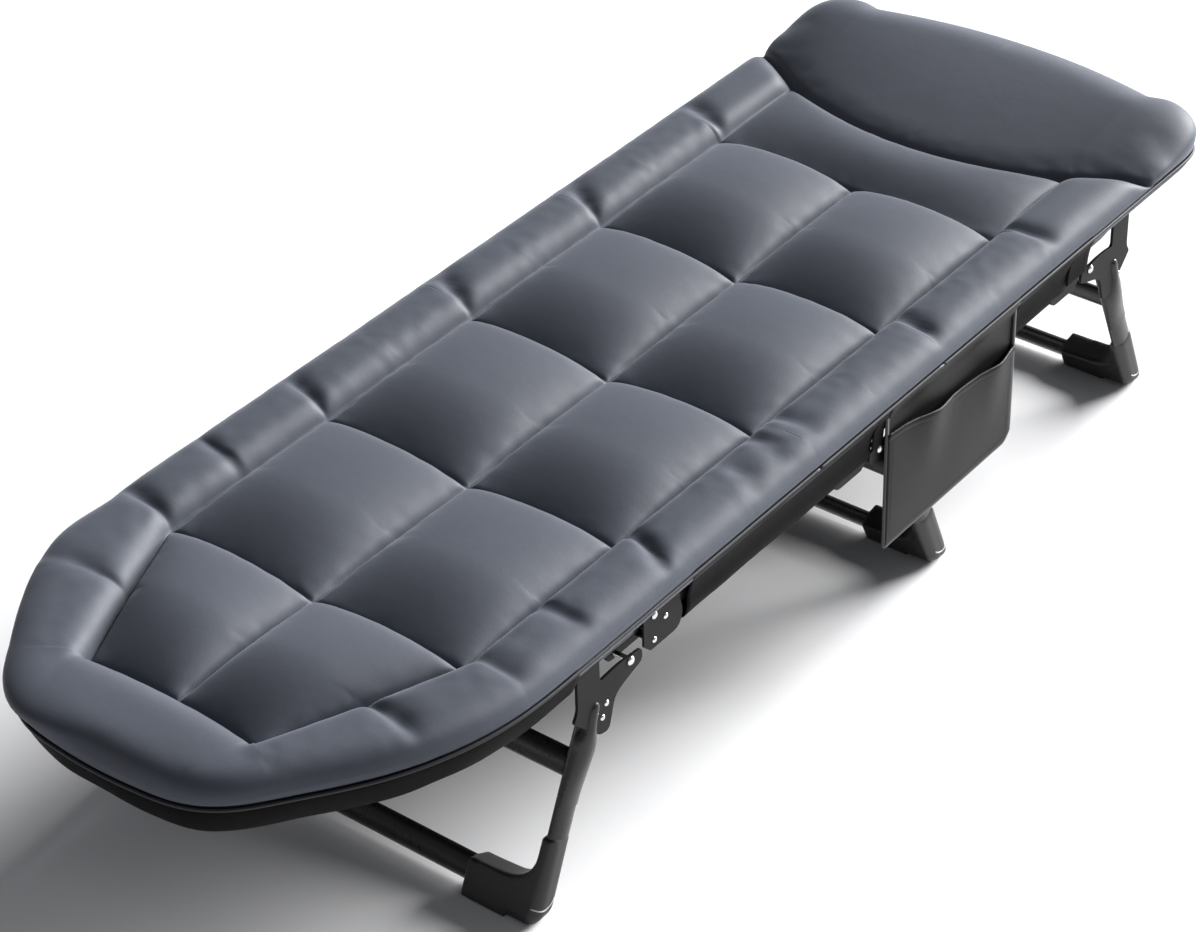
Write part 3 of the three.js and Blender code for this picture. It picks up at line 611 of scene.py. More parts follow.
def smooth_loop(points):
    """Closed loop of points at an even step, with its corners softened."""
    loop = np.vstack([points, points[:1]])
    lengths = path_lengths(loop)
    at = np.linspace(0, lengths[-1], int(lengths[-1] / OUTLINE_STEP), endpoint=False)
    even = np.stack([np.interp(at, lengths, loop[:, k]) for k in range(2)], axis=1)
    for _ in range(OUTLINE_PASSES):
        even = 0.5 * even + 0.25 * (np.roll(even, 1, axis=0) + np.roll(even, -1, axis=0))
    return even


def outward_normals(points, tangent):
    """Unit normals in plan of a line round the origin, away from it."""
    normal = np.stack([tangent[:, 1], -tangent[:, 0]], axis=1)
    normal /= np.linalg.norm(normal, axis=1)[:, None]
    return normal * np.sign((normal * points).sum(axis=1))[:, None]


class Outline:
    """The pad's outline in plan: its right half from the foot's tip to the head's tip, by length."""

    def __init__(self):
        foot = top_outline("mattress_foot", FOOT_CENTRE_Y, -1)
        head = top_outline("mattress_head", HEAD_CENTRE_Y, 1)[::-1]
        right = np.vstack([foot, head])
        left = right[1:-1][::-1] * (-1, 1)
        self.loop = smooth_loop(np.vstack([right, left]))
        half = self.loop[self.loop[:, 0] >= 0]
        half = half[np.argsort(half[:, 1])]
        self.half = np.vstack([(0.0, self.loop[:, 1].min()), half, (0.0, self.loop[:, 1].max())])
        self.lengths = path_lengths(self.half)
        self.total = self.lengths[-1]
        tangent = np.roll(self.loop, -1, axis=0) - np.roll(self.loop, 1, axis=0)
        self.outward = outward_normals(self.loop, tangent)

    def point(self, length):
        return np.stack([np.interp(length, self.lengths, self.half[:, k]) for k in range(2)], axis=-1)

    def length_at_y(self, y):
        return np.interp(y, self.half[:, 1], self.lengths)

    def length_at_x(self, x, at_head):
        middle = len(self.half) // 2
        if at_head:
            return np.interp(-x, -self.half[middle:, 0], self.lengths[middle:])
        return np.interp(x, self.half[:middle, 0], self.lengths[:middle])

    def half_width(self, y):
        return np.interp(y, self.half[:, 1], self.half[:, 0])

    def outward_at(self, points):
        """Outward direction in plan at the outline's point nearest to each point."""
        nearest = [np.argmin(np.linalg.norm(self.loop - p, axis=1)) for p in points.reshape(-1, 2)]
        return self.outward[nearest].reshape(points.shape)

    def distance(self, points):
        """Distance in plan from each point to the outline."""
        nearest = np.full(len(points), np.inf)
        for a, b in zip(self.loop, np.roll(self.loop, -1, axis=0)):
            d = b - a
            t = np.clip(((points - a) @ d) / (d @ d), 0, 1)
            nearest = np.minimum(nearest, np.linalg.norm(points - a - t[:, None] * d, axis=1))
        return nearest

    def sides(self, y0, y1, step):
        """The right and left side from y0 to y1, as (side, (points, outward normals))."""
        start, end = self.length_at_y(y0), self.length_at_y(y1)
        lengths = np.arange(start, end + step / 2, step)
        lengths[-1] = end
        points = self.point(lengths)
        normals = outward_normals(points, np.gradient(points, axis=0))
        return [("right", (points, normals)), ("left", (points * (-1, 1), normals * (-1, 1)))]

    def round_end(self, y, at_head, step=SLEEVE_STEP):
        """Points and outward normals from the right side at y, round that end, to the left side at y."""
        start = self.length_at_y(y)
        tip = self.total if at_head else 0.0
        right = self.point(np.linspace(start, tip, int(abs(tip - start) / step) + 1))
        points = np.vstack([right, right[:-1][::-1] * (-1, 1)])
        for _ in range(ROUNDING_PASSES):
            points[1:-1] = 0.5 * points[1:-1] + 0.25 * (points[:-2] + points[2:])
        return points, outward_normals(points, np.gradient(points, axis=0))


outline = Outline()

# ------------------------------------------------------------------ plan of the quilted pad


def column_numbers():
    right = np.concatenate([graded(*CELL_COLUMNS), 1 + graded(*BORDER_COLUMNS)[1:]])
    return np.concatenate([-right[:0:-1], right])


def row_numbers():
    cells = [start + 0.5 * graded(*HALF_CELL_ROWS)[1:] for start in np.arange(0, LAST_SEAM, 0.5)]
    neck = LAST_SEAM + graded(*NECK_ROWS)[1:]
    pillow = PILLOW_SEAM + graded(*PILLOW_ROWS)[1:]
    return np.concatenate([graded(*END_ROWS) - 1, *cells, neck, pillow])


def pillow_seam_y(x):
    centre = PILLOW_FRONT_Y + PILLOW_SEAM_RADIUS
    return centre - np.sqrt(PILLOW_SEAM_RADIUS ** 2 - x ** 2)


FOOT_SIDE_LENGTH = outline.length_at_y(FOOT_SIDE_Y)
FOOT_CORNER_LENGTH = outline.length_at_y(FOOT_CORNER_Y)
FOOT_EDGE_LENGTH = outline.length_at_x(FOOT_EDGE_X, False)
HEAD_CORNER_LENGTH = outline.length_at_y(HEAD_CORNER_Y)
HEAD_EDGE_LENGTH = outline.length_at_x(SIDE_SEAM_X, True)
SIDE_LENGTHS = [FOOT_SIDE_LENGTH, *(outline.length_at_y(y) for y in SIDE_ROWS_Y),
                outline.length_at_y(float(pillow_seam_y(HALF_WIDTH))), HEAD_CORNER_LENGTH]


def side_length(r):
    """Length along the outline where row r meets it, from the foot seam to the head's corner."""
    return np.interp(r, np.arange(len(SIDE_LENGTHS)), SIDE_LENGTHS)


def panel_point(c, r):
    """Plan point inside the side seams, 0 <= c <= 1 and 0 <= r <= 7."""
    x = c * np.interp(r, (0, 1), (FOOT_SEAM_X, SIDE_SEAM_X))
    y = np.interp(r, np.arange(len(SEAM_ROWS_Y)), SEAM_ROWS_Y)
    y = y - FOOT_SEAM_BOW * (c ** 2 - 0.5) * np.clip(1 - r, 0, 1)
    neck = lerp(SEAM_ROWS_Y[LAST_SEAM], pillow_seam_y(x), np.clip(r - LAST_SEAM, 0, 1))
    inside = np.stack([x, np.where(r > LAST_SEAM, neck, y)], axis=-1)
    edge = outline.point(lerp(outline.total, HEAD_EDGE_LENGTH, c))
    return lerp(inside, edge, np.clip(r - PILLOW_SEAM, 0, 1)[..., None])


def straight(start, end):
    """A straight line in plan, as a function of one number from 0 to 1."""
    return lambda s: lerp(start, end, s[..., None])


def along_outline(start, end):
    """The outline between two lengths, as a function of one number from 0 to 1."""
    return lambda s: outline.point(lerp(start, end, s))


def patch(bottom, top, left, right, a, t):
    """Coons patch: its four edges are functions of one number, and (a, t) runs across and up it."""
    a2, t2 = a[..., None], t[..., None]
    zero, one = np.zeros_like(a), np.ones_like(a)
    ruled = lerp(bottom(a), top(a), t2) + lerp(left(t), right(t), a2)
    corners = lerp(lerp(bottom(zero), bottom(one), a2), lerp(top(zero), top(one), a2), t2)
    return ruled - corners


def foot_corner(a, t):
    """Plan point between the end of the foot seam and the outline's corner."""
    seam_end = panel_point(np.array(1.0), np.array(0.0))
    return patch(straight(seam_end, outline.point(FOOT_SIDE_LENGTH)),
                 along_outline(FOOT_EDGE_LENGTH, FOOT_CORNER_LENGTH),
                 straight(seam_end, outline.point(FOOT_EDGE_LENGTH)),
                 along_outline(FOOT_SIDE_LENGTH, FOOT_CORNER_LENGTH), a, t)


def head_corner(a, t):
    """Plan point between the end of the pillow's seam and the outline's corner."""
    seam_end = panel_point(np.array(1.0), np.array(float(PILLOW_SEAM)))
    return patch(straight(seam_end, outline.point(side_length(PILLOW_SEAM))),
                 along_outline(HEAD_EDGE_LENGTH, HEAD_CORNER_LENGTH),
                 lambda s: panel_point(np.ones_like(s), PILLOW_SEAM + s),
                 lambda s: outline.point(side_length(PILLOW_SEAM + s)), a, t)


def plan_point(c, r):
    """Plan point of the pad's right half, 0 <= c <= 2 and -1 <= r <= 7."""
    inner, outer = np.clip(c, 0, 1), np.clip(c - 1, 0, 1)
    footward, headward = np.clip(-r, 0, 1), np.clip(r - PILLOW_SEAM, 0, 1)
    low = np.clip(r, 0, HEAD_EDGE)
    panel = panel_point(inner, low)
    border = lerp(panel, outline.point(side_length(low)), outer[..., None])
    foot = lerp(panel, outline.point(inner * FOOT_EDGE_LENGTH), footward[..., None])
    point = np.where((c > 1)[..., None], border, panel)
    point = np.where((r < 0)[..., None], foot, point)
    point = np.where(((r < 0) & (c > 1))[..., None], foot_corner(outer, footward), point)
    return np.where(((r > PILLOW_SEAM) & (c > 1))[..., None], head_corner(outer, headward), point)


# ------------------------------------------------------------------ height of the quilted pad


def crease_pinch(a, x, y):
    """How much each border point is pinched, 0 to 1. a runs from the side seam to the piping."""
    pinch = np.zeros_like(a)
    reach = CREASE_WIDTH * (1 + CREASE_WIDENING * a)
    for side, y_seam, y_out, depth in BORDER_CREASES:
        line = lerp(y_seam, y_out, a ** CREASE_BOW)
        along = depth * (1 - ramp_up(a, CREASE_FADE, 1))
        pinched = along * np.exp(-np.abs((y - line) / reach) ** CREASE_SHARPNESS)
        pinch = np.maximum(pinch, np.where(np.sign(x) == side, pinched, 0))
    return pinch


def cell_height(across, r, y):
    """Height of the quilted cells."""
    up = r - np.floor(r)
    pitch = np.interp(r, CELL_MIDDLES, np.diff(SEAM_ROWS_Y))
    wedge = climb(up * pitch / WEDGE_CLIMB) * rolled_edge((1 - up) * pitch, WEDGE_DROP)
    body = np.where((r >= 0) & (r < LAST_SEAM), CELL_RISE * puff(up) + CELL_WEDGE * wedge, 0)
    first, last = SEAM_ROWS_Y[0], SEAM_ROWS_Y[LAST_SEAM]
    middle = ramp_up(y, first, first + SAG_START) * ramp_up(y, last, last - SAG_START)
    return SEAM_Z + body * puff(across, *CELL_ACROSS) - SAG * (1 - np.clip(across, 0, 1) ** 2) * middle


def crown_height(c, r, x, y):
    """Height of the pad if its edge weren't rounded."""
    across = np.abs(c)
    outward, footward = np.clip(across - 1, 0, 1), np.clip(-r, 0, 1)
    away = (outward ** 4 + footward ** 4) ** 0.25
    flattened = 1 - CREASE_DEPTH * crease_pinch(outward, x, y)
    border = SEAM_Z + BORDER_RISE * rise(away / BORDER_CLIMB) * flattened

    up = np.clip(r - LAST_SEAM, 0, 1)
    roll = climb(up / NECK_CLIMB) * rolled_edge(1 - up, NECK_DROP)
    neck = lerp(SEAM_Z, PILLOW_SEAM_Z, up)
    neck = neck + NECK_RISE * roll * puff(0.5 + 0.5 * np.clip(across, 0, 1), *NECK_ACROSS)
    neck_border = lerp(border, PILLOW_SEAM_Z, ramp_up(up, *NECK_END) ** 2)

    t = np.clip(r - PILLOW_SEAM, 0, 1)
    swell = lerp(1 - (1 - t) ** PILLOW_SLOPE, rise(t / PILLOW_STEP_LENGTH), PILLOW_STEP)
    pillow = PILLOW_SEAM_Z + (PILLOW_TOP_Z + PILLOW_SPARE - PILLOW_SEAM_Z) * swell

    height = np.where((across > 1) | (r < 0), border, cell_height(across, r, y))
    height = np.where(r > LAST_SEAM, np.where(across > 1, neck_border, neck), height)
    return np.where(r > PILLOW_SEAM, pillow, height)


def shoulder(distance, reach, power=2.4, fullness=0.5):
    """Profile of the pad's rounded edge, 0 at the piping and 1 from its reach on."""
    return (1 - (1 - np.clip(distance / reach, 0, 1)) ** power) ** fullness


def pad_points():
    """The pad's upper surface as (rows, columns, 3), with the plan places and the c and r numbers."""
    c, r = np.meshgrid(column_numbers(), row_numbers())
    across = np.abs(c)
    plan = plan_point(across, r)
    plan[..., 0] *= np.where(c < 0, -1, 1)
    x, y = plan[..., 0], plan[..., 1]
    pillow_end = ramp_up(r, *PILLOW_END_ROWS) * ramp_up(across, *PILLOW_END_COLUMNS)
    reach = lerp(EDGE_ROUND, PILLOW_ROUND, ramp_up(r, *PILLOW_EDGE_ROWS))
    reach = lerp(reach, FOOT_ROUND_EDGE, ramp_up(y, *FOOT_EDGE_Y))
    reach = lerp(reach, PILLOW_END_ROUND, pillow_end)
    distance = outline.distance(plan.reshape(-1, 2)).reshape(c.shape)
    z = EDGE_Z + (crown_height(c, r, x, y) - EDGE_Z) * shoulder(distance, reach)
    overhang = FOOT_OVERHANG * ramp_up(y, *FOOT_BULGE_Y) * ramp_up(x, *FOOT_BULGE_X)
    overhang += PILLOW_OVERHANG * ramp_up(r, *PILLOW_BULGE_ROWS) * ramp_up(across, *PILLOW_BULGE_COLUMNS)
    push = overhang * np.sin(np.pi * np.sqrt(np.clip(distance / reach, 0, 1)))
    return np.dstack([plan + push[..., None] * outline.outward_at(plan), z]), plan, c, r


def seam_pins(c, r):
    """True where the pad is held: on its seams and at the piping."""
    across, in_cells = np.abs(c), (r >= 0) & (r <= LAST_SEAM)
    cross = np.isclose(r, np.round(r)) & in_cells & (across <= 1)
    lengthwise = (np.isclose(across, 1) | np.isclose(c, 0)) & in_cells
    edge = np.isclose(across, 2) | np.isclose(r, -1) | np.isclose(r, HEAD_EDGE)
    return cross | lengthwise | edge | np.isclose(r, PILLOW_SEAM)


# ------------------------------------------------------------------ simulated stuffing


def inflate(obj, pinned):
    """Lets the pad swell as cloth held at its seams, and keeps a share of that, at most SIM_CAP."""
    start = points_of(obj)
    group = obj.vertex_groups.new(name="held")
    group.add([int(i) for i in np.flatnonzero(pinned)], 1.0, "REPLACE")
    cloth = obj.modifiers.new("cloth", "CLOTH")
    settings = cloth.settings
    settings.quality = SIM_QUALITY
    settings.mass = CLOTH_MASS
    settings.use_pressure = True
    settings.uniform_pressure_force = PRESSURE
    settings.effector_weights.gravity = 0
    settings.vertex_group_mass = "held"
    settings.shrink_min = CLOTH_GROWTH
    settings.bending_stiffness = CLOTH_STIFFNESS
    cloth.point_cache.frame_end = SIM_FRAMES
    for number in range(1, SIM_FRAMES + 1):
        bpy.context.scene.frame_set(number)
    apply_modifiers(obj)
    bpy.context.scene.frame_set(1)
    moved = (points_of(obj) - start) * SIM_SHARE
    far = np.linalg.norm(moved, axis=1)
    moved *= np.minimum(1, SIM_CAP / np.maximum(far, 1e-9))[:, None]
    set_points(obj, start + moved)
    obj.vertex_groups.clear()


def subdivide(obj):
    modifier = obj.modifiers.new("subdivision", "SUBSURF")
    modifier.levels = modifier.render_levels = 1
    modifier.boundary_smooth = "PRESERVE_CORNERS"
    modifier.uv_smooth = "NONE"
    apply_modifiers(obj)


# ------------------------------------------------------------------ pad


def make_pad():
    """The whole upper cover as one smooth surface."""
    points, plan, c, r = pad_points()
    numbers = np.stack([c, r], axis=-1).reshape(-1, 2)
    pad = new_mesh("pad", points.reshape(-1, 3), grid_faces(*c.shape), plan.reshape(-1, 2), grid=numbers)
    inflate(pad, seam_pins(c, r).ravel())
    subdivide(pad)
    sew(pad)
    pad.data.uv_layers.remove(pad.data.uv_layers["grid"])
    return pad


def seam_distance(c, r, head_pitch):
    """Distance from each point to the nearest seam."""
    row_pitch = np.where(r > LAST_SEAM, head_pitch, CELL_PITCH)
    to_cross = np.abs(r - np.clip(np.round(r), 0, PILLOW_SEAM)) * row_pitch
    to_cross += (c > 1) & (r < PILLOW_GROOVE_ROW)
    to_side = np.abs(c - 1) * np.where(c > 1, BORDER_SHARE, 1)
    to_lengthwise = np.minimum(c, to_side) * SIDE_SEAM_X
    to_lengthwise += (r < 0) | (r > LAST_SEAM)
    return np.minimum(to_cross, to_lengthwise)


def sew(pad):
    """Pulls a narrow groove into the pad along its seams, with small gathers beside it."""
    corners = corner_points(pad.data)
    values = np.empty(len(corners) * 2, np.float32)
    pad.data.uv_layers["grid"].data.foreach_get("uv", values)
    numbers = np.empty((len(pad.data.vertices), 2))
    numbers[corners] = values.reshape(-1, 2)
    points = points_of(pad)
    head_pitch = HEAD_PITCH_SHARE * (points[:, 1].max() - SEAM_ROWS_Y[LAST_SEAM])
    near = seam_distance(np.abs(numbers[:, 0]), numbers[:, 1], head_pitch)
    groove = GROOVE_DEPTH * np.exp(-(near / GROOVE_WIDTH) ** 2)
    places = [Vector((x * GATHER_SCALE, y * GATHER_SCALE, GATHER_SLICE)) for x, y in points[:, :2]]
    gathers = GATHER * np.array([noise.noise(place) for place in places])
    points[:, 2] += gathers * np.exp(-(near / GATHER_REACH) ** 2) - groove
    set_points(pad, points)


def mean_flat_y(face, uv):
    """Mean y on the flat cloth of a face's corners."""
    return sum(corner[uv].uv.y for corner in face.loops) / len(face.loops)


def lies_along(edge, y):
    return all(abs(v.co.y - y) < SEAM_NUDGE for v in edge.verts)


def add_wall(work, uv, piped):
    """Hangs the black side wall from the piped edges. Returns each upper point's column of points."""
    columns = {}
    for v in dict.fromkeys(v for edge in piped for v in edge.verts):
        outward = outline.outward_at(np.array(v.co.xy))
        rings = [(v.co.x + outward[0] * out, v.co.y + outward[1] * out, z) for out, z in PAD_WALL]
        columns[v] = [v, *(work.verts.new(place) for place in rings)]
    for edge in piped:
        a, b = (columns[v] for v in edge.verts)
        for k in range(len(PAD_WALL)):
            face = work.faces.new((a[k], a[k + 1], b[k + 1], b[k]))
            face.smooth = True
            face.material_index = 1
            for corner in face.loops:
                corner[uv].uv = (corner.vert.co.x + corner.vert.co.y, corner.vert.co.z)
    return columns


def add_underside(work, columns):
    """Closes the pad below with one face between each pair of opposite points."""
    by_y = sorted(columns, key=lambda v: v.co.y)
    right = [v for v in by_y if v.co.x > TINY]
    left = [v for v in by_y if v.co.x < -TINY]
    rings = [(a, b, d, c) for a, b, c, d in zip(right, right[1:], left, left[1:])]
    for tip in (v for v in by_y if abs(v.co.x) <= TINY):
        end = -1 if tip.co.y > 0 else 0
        rings.append((right[end], tip, left[end]))
    for ring in rings:
        work.faces.new([columns[v][-1] for v in ring]).material_index = 1


def split_pad(pad, name, y0, y1):
    """One stretch of the pad between two cross seams, with its black side wall and underside added."""
    work = bmesh.new()
    work.from_mesh(pad.data)
    uv = work.loops.layers.uv["flat"]
    outside = [face for face in work.faces if not y0 < mean_flat_y(face, uv) < y1]
    bmesh.ops.delete(work, geom=outside, context="FACES")
    rim = [edge for edge in work.edges if edge.is_boundary]
    piped = [edge for edge in rim if not any(lies_along(edge, y) for y in SPLIT_Y)]
    add_underside(work, add_wall(work, uv, piped))
    for face in work.faces:
        if face.material_index == 1:
            for corner in face.loops:
                if abs(face.normal.z) > LEVEL_NORMAL or corner.vert.co.z < PAD_WALL[-1][1] + TINY:
                    corner[uv].uv = corner.vert.co.xy
    bmesh.ops.recalc_face_normals(work, faces=work.faces)
    mesh = bpy.data.meshes.new(name)
    work.to_mesh(mesh)
    work.free()
    obj = new_object(name, mesh)
    paint(obj, "pad", "oxford")
    return obj


def bend_with(obj):
    """Fabric that crosses the hinge of the foot or head section has its placement baked into its points."""
    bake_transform(obj)


def ride_or_bend(obj, end):
    """A piece of the main section is attached to that body; a piece of the foot or head end only has its
    placement baked in.
    """
    if end is None:
        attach(obj, "main_section")
    else:
        bend_with(obj)


def make_pad_pieces():
    """The pad in its three stretches. Returns a search tree for its upper surface."""
    pad = make_pad()
    surface = surface_tree(pad)
    pieces = {end: split_pad(pad, f"pad_{end or 'middle'}", y0, y1) for end, y0, y1 in STRETCHES}
    bpy.data.objects.remove(pad)
    for end, piece in pieces.items():
        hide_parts(*PAD_NODES[end])
        ride_or_bend(piece, end)
    return surface


PAD_SURFACE = make_pad_pieces()

# ------------------------------------------------------------------ swept cloth and cords


def sweep(name, path, section, closed=False, ripple=0.0):
    """Runs a section, (outward, z), along a path in plan, (points, outward normals). The section's middle
    points stray by up to ripple, as slack cloth does."""
    points, normals = path
    section = np.asarray(section, float)
    around = path_lengths(section)
    slack = ripple * np.sin(np.pi * around / around[-1])
    made, flat = [], []
    for point, normal, length in zip(points, normals, path_lengths(points)):
        for (out, z), s, free in zip(section, around, slack):
            place = Vector((*point, s)) * Vector(RIPPLE_SCALE)
            x, y = point + normal * (out + free * noise.noise(place))
            made.append((x, y, z + free * noise.noise(place + RIPPLE_OFFSET)))
            flat.append((length, s))
    obj = new_mesh(name, made, grid_faces(len(points), len(section), closed), flat)
    face_outwards(obj, fill_holes=closed)
    return obj


def soften(points, passes=2):
    """A finer, rounder version of an open line of points that keeps its ends."""
    points = np.asarray(points, float)
    for _ in range(passes):
        near = 0.75 * points[:-1] + 0.25 * points[1:]
        far = 0.25 * points[:-1] + 0.75 * points[1:]
        cut = np.stack([near, far], axis=1).reshape(-1, points.shape[1])
        points = np.vstack([points[:1], cut, points[-1:]])
    return points


def thicken(obj):
    modifier = obj.modifiers.new("thickness", "SOLIDIFY")
    modifier.thickness = CLOTH_THICKNESS
    modifier.offset = 0
    apply_modifiers(obj)


def make_piping():
    """A cord sewn along the pad's lower edge."""
    angle = np.arange(PIPING_SIDES) * 2 * np.pi / PIPING_SIDES
    section = np.stack([PIPING_RADIUS * np.cos(angle), PIPING_Z + PIPING_RADIUS * np.sin(angle)], axis=1)
    ends = (("foot", outline.round_end(SPLIT_Y[0], False, PIPING_STEP)),
            ("head", outline.round_end(SPLIT_Y[1], True, PIPING_STEP)))
    for name, path in (*ends, *outline.sides(*SPLIT_Y, SLEEVE_STEP)):
        piece = sweep(f"piping_{name}", path, section, closed=True)
        paint(piece, "piping")
        ride_or_bend(piece, name if name in ("foot", "head") else None)


def finish_cloth(piece):
    """Thickness and finish of black cloth stretched over the frame."""
    thicken(piece)
    paint(piece, "oxford")


def tuck_behind_pocket(sleeve):
    """Keeps the sleeve inside the pocket's back sheet where the pocket hangs."""
    points = points_of(sleeve)
    deepest = POCKET_LOW.x - POCKET_GAP
    behind = (points[:, 1] < POCKET_HIGH.y + POCKET_TUCK) & (points[:, 0] > deepest)
    points[behind, 0] = deepest
    set_points(sleeve, points)


def make_main_sleeves():
    """Cloth loops round the main section's side rails."""
    for number, (y0, y1) in enumerate(MAIN_SLEEVE_STRETCHES, 1):
        for side, path in outline.sides(y0, y1, SLEEVE_STEP):
            piece = sweep(f"sleeve_{side}_{number}", path, soften(MAIN_SLEEVE), ripple=MAIN_RIPPLE)
            if (side, number) == ("right", 2):
                tuck_behind_pocket(piece)
            if (side, number) == ("right", 1):
                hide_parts("sling_main")
            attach(piece, "main_section")
            finish_cloth(piece)


def make_flaps():
    """Beyond a sleeve's end its outer side goes on as a flap over the bracket."""
    for number, (y0, y1) in enumerate(FLAP_STRETCHES, 1):
        for side, path in outline.sides(y0, y1, FLAP_STEP):
            piece = sweep(f"sleeve_flap_{side}_{number}", path, soften(FLAP))
            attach(piece, "main_section")
            finish_cloth(piece)


def make_end_sleeves():
    """Cloth loops round the bent tubes of the foot and head sections."""
    for end, y, section, inset in (("foot", FOOT_SLEEVE_Y, FOOT_SLEEVE, FOOT_TUBE_INSET),
                                   ("head", HEAD_SLEEVE_Y, HEAD_SLEEVE, HEAD_TUBE_INSET)):
        path = outline.round_end(y, end == "head")
        piece = sweep(f"sleeve_{end}", path, soften(section), ripple=END_RIPPLE)
        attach(piece, f"{end}_section")
        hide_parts(f"sling_{end}")
        finish_cloth(piece)


def make_bed_fabric():
    """The black cloth that carries the pad, in three stretches cut where the pad is."""
    t = np.linspace(-1, 1, PANEL_COLUMNS)
    for end, y0, y1 in STRETCHES:
        y0, y1 = max(y0, FOOT_PANEL_Y), min(y1, HEAD_PANEL_Y)
        ys = np.linspace(y0, y1, int((y1 - y0) / PANEL_STEP) + 1)
        inset = np.where(ys > HEAD_SLEEVE_Y, HEAD_PANEL_INSET, PANEL_INSET)
        wide = np.minimum(outline.half_width(ys) - inset, PANEL_HALF)
        x, y = wide[:, None] * t, np.repeat(ys[:, None], len(t), axis=1)
        dip = PANEL_DIP * (1 - t ** 2) * (DIP_STEADY + DIP_WAVE * np.cos(DIP_WAVE_RATE * y))
        points = np.stack([x, y, PANEL_Z - dip], axis=-1).reshape(-1, 3)
        piece = new_mesh(f"bed_cloth_{end or 'middle'}", points, grid_faces(*x.shape), points[:, :2])
        face_outwards(piece)
        finish_cloth(piece)
        ride_or_bend(piece, end)


make_piping()
make_main_sleeves()
make_flaps()
make_end_sleeves()
make_bed_fabric()

# ------------------------------------------------------------------ stitches


def stitch_mesh(name, rows):
    """One mesh of separate stitches. Each row is (points, surface normals)."""
    verts, faces = [], []
    for points, normals in rows:
        points, normals = np.asarray(points, float), np.asarray(normals, float)
        lengths = path_lengths(points)
        for start in np.arange(STITCH_PITCH / 2, lengths[-1] - STITCH_PITCH, STITCH_PITCH):
            a, m, b = (np.array([np.interp(at, lengths, points[:, k]) for k in range(3)])
                       for at in (start, start + STITCH_LENGTH / 2, start + STITCH_LENGTH))
            up = np.array([np.interp(start, lengths, normals[:, k]) for k in range(3)])
            up /= np.linalg.norm(up)
            sideways = np.cross(b - a, up)
            sideways *= STITCH_WIDTH / 2 / np.linalg.norm(sideways)
            faces += [[len(verts) + k for k in face] for face in STITCH_FACES]
            verts += [a - up * STITCH_SINK, b - up * STITCH_SINK]
            verts += [m + sideways, m - sideways, m + up * STITCH_HEIGHT]
    obj = new_mesh(name, verts, faces)
    face_outwards(obj)
    return obj


def seam_lines():
    """The pad's seams as lines in plan."""
    t = np.linspace(0, 1, SEAM_SAMPLES)
    c = np.linspace(-1, 1, CROSS_SEAM_SAMPLES)
    mirrored = np.stack([np.where(c < 0, -1, 1), np.ones_like(c)], axis=1)
    lines = [panel_point(np.abs(c), np.full_like(c, row)) * mirrored for row in range(len(SEAM_ROWS_Y))]
    lines.append(panel_point(0 * t, LAST_SEAM * t))
    for side in (-1, 1):
        lines.append(panel_point(1 + 0 * t, LAST_SEAM * t) * (side, 1))
        lines.append(plan_point(2 * t, PILLOW_SEAM + 0 * t) * (side, 1))
    return lines


def make_pad_stitches():
    """Thread in the quilting seams, lying on the pad's surface."""
    rows = {end: [] for end, y0, y1 in STRETCHES}
    first, last = SPLIT_Y[0] + SEAM_NUDGE, SPLIT_Y[1] - SEAM_NUDGE
    for line in seam_lines():
        hits = [PAD_SURFACE.ray_cast(Vector((x, y, 1)), Vector((0, 0, -1)))[:2] for x, y in line]
        for end, low_y, high_y in (("foot", -BEYOND, first), (None, first, last), ("head", last, BEYOND)):
            part = [(hit, normal) for hit, normal in hits if hit is not None and low_y <= hit.y < high_y]
            if len(part) > 1:
                rows[end].append(tuple(zip(*part)))
    for end, lines in rows.items():
        piece = stitch_mesh(f"quilting_thread_{end or 'middle'}", lines)
        paint(piece, "thread")
        ride_or_bend(piece, end)


make_pad_stitches()

# ------------------------------------------------------------------ side pocket


def rim_height(u):
    """Height of the pocket's open edge along its length: it drops in a wave towards the head."""
    return np.interp(u, *zip(*RIM))


def pocket_grid(top, bulge):
    """Points of a pocket sheet with the given top edge, and their places on the flat cloth."""
    u, v = np.meshgrid(np.linspace(0, 1, POCKET_COLUMNS), np.linspace(0, 1, POCKET_LINES))
    y = lerp(POCKET_LOW.y + POCKET_EDGE, POCKET_HIGH.y - POCKET_EDGE, u)
    cut = np.clip((u - 1) * (POCKET_HIGH.y - POCKET_LOW.y) + POCKET_CUT, 0, None)
    z = lerp(POCKET_LOW.z + POCKET_EDGE + cut, top(u), v)
    return np.stack([bulge(u, v), y, z], axis=-1), np.stack([y, z], axis=-1)


def front_bulge(u, v):
    """The front sheet stands away from the back, most at its open edge, in two soft lobes."""
    arch = np.sin(np.pi * u)
    belly = FRONT_BELLY * arch ** 0.6 * np.sin(np.pi * BELLY_ARCH * v) ** 0.8
    lobes = sum(out * np.exp(-((u - middle) / width) ** 2) for out, middle, width in FRONT_LOBES)
    folds = FRONT_FOLDS * np.sin(FOLD_RATE * u + FOLD_PHASE) * v * arch
    return POCKET_HIGH.x - FRONT_INSET + belly + lobes * v ** LOBE_CLIMB * arch ** 0.3 + folds


def back_bulge(u, v):
    """The back sheet hangs straight, and its top leans out to where it is sewn under the piping."""
    z = lerp(POCKET_LOW.z, POCKET_BACK_TOP, v)
    lean = (HALF_WIDTH - BACK_LEAN_END - POCKET_LOW.x) * ramp_up(z, *BACK_LEAN_Z)
    folds = BACK_FOLDS * np.sin(BACK_FOLD_RATE * u) * 4 * v * (1 - v)
    return POCKET_LOW.x + BACK_INSET + folds + lean


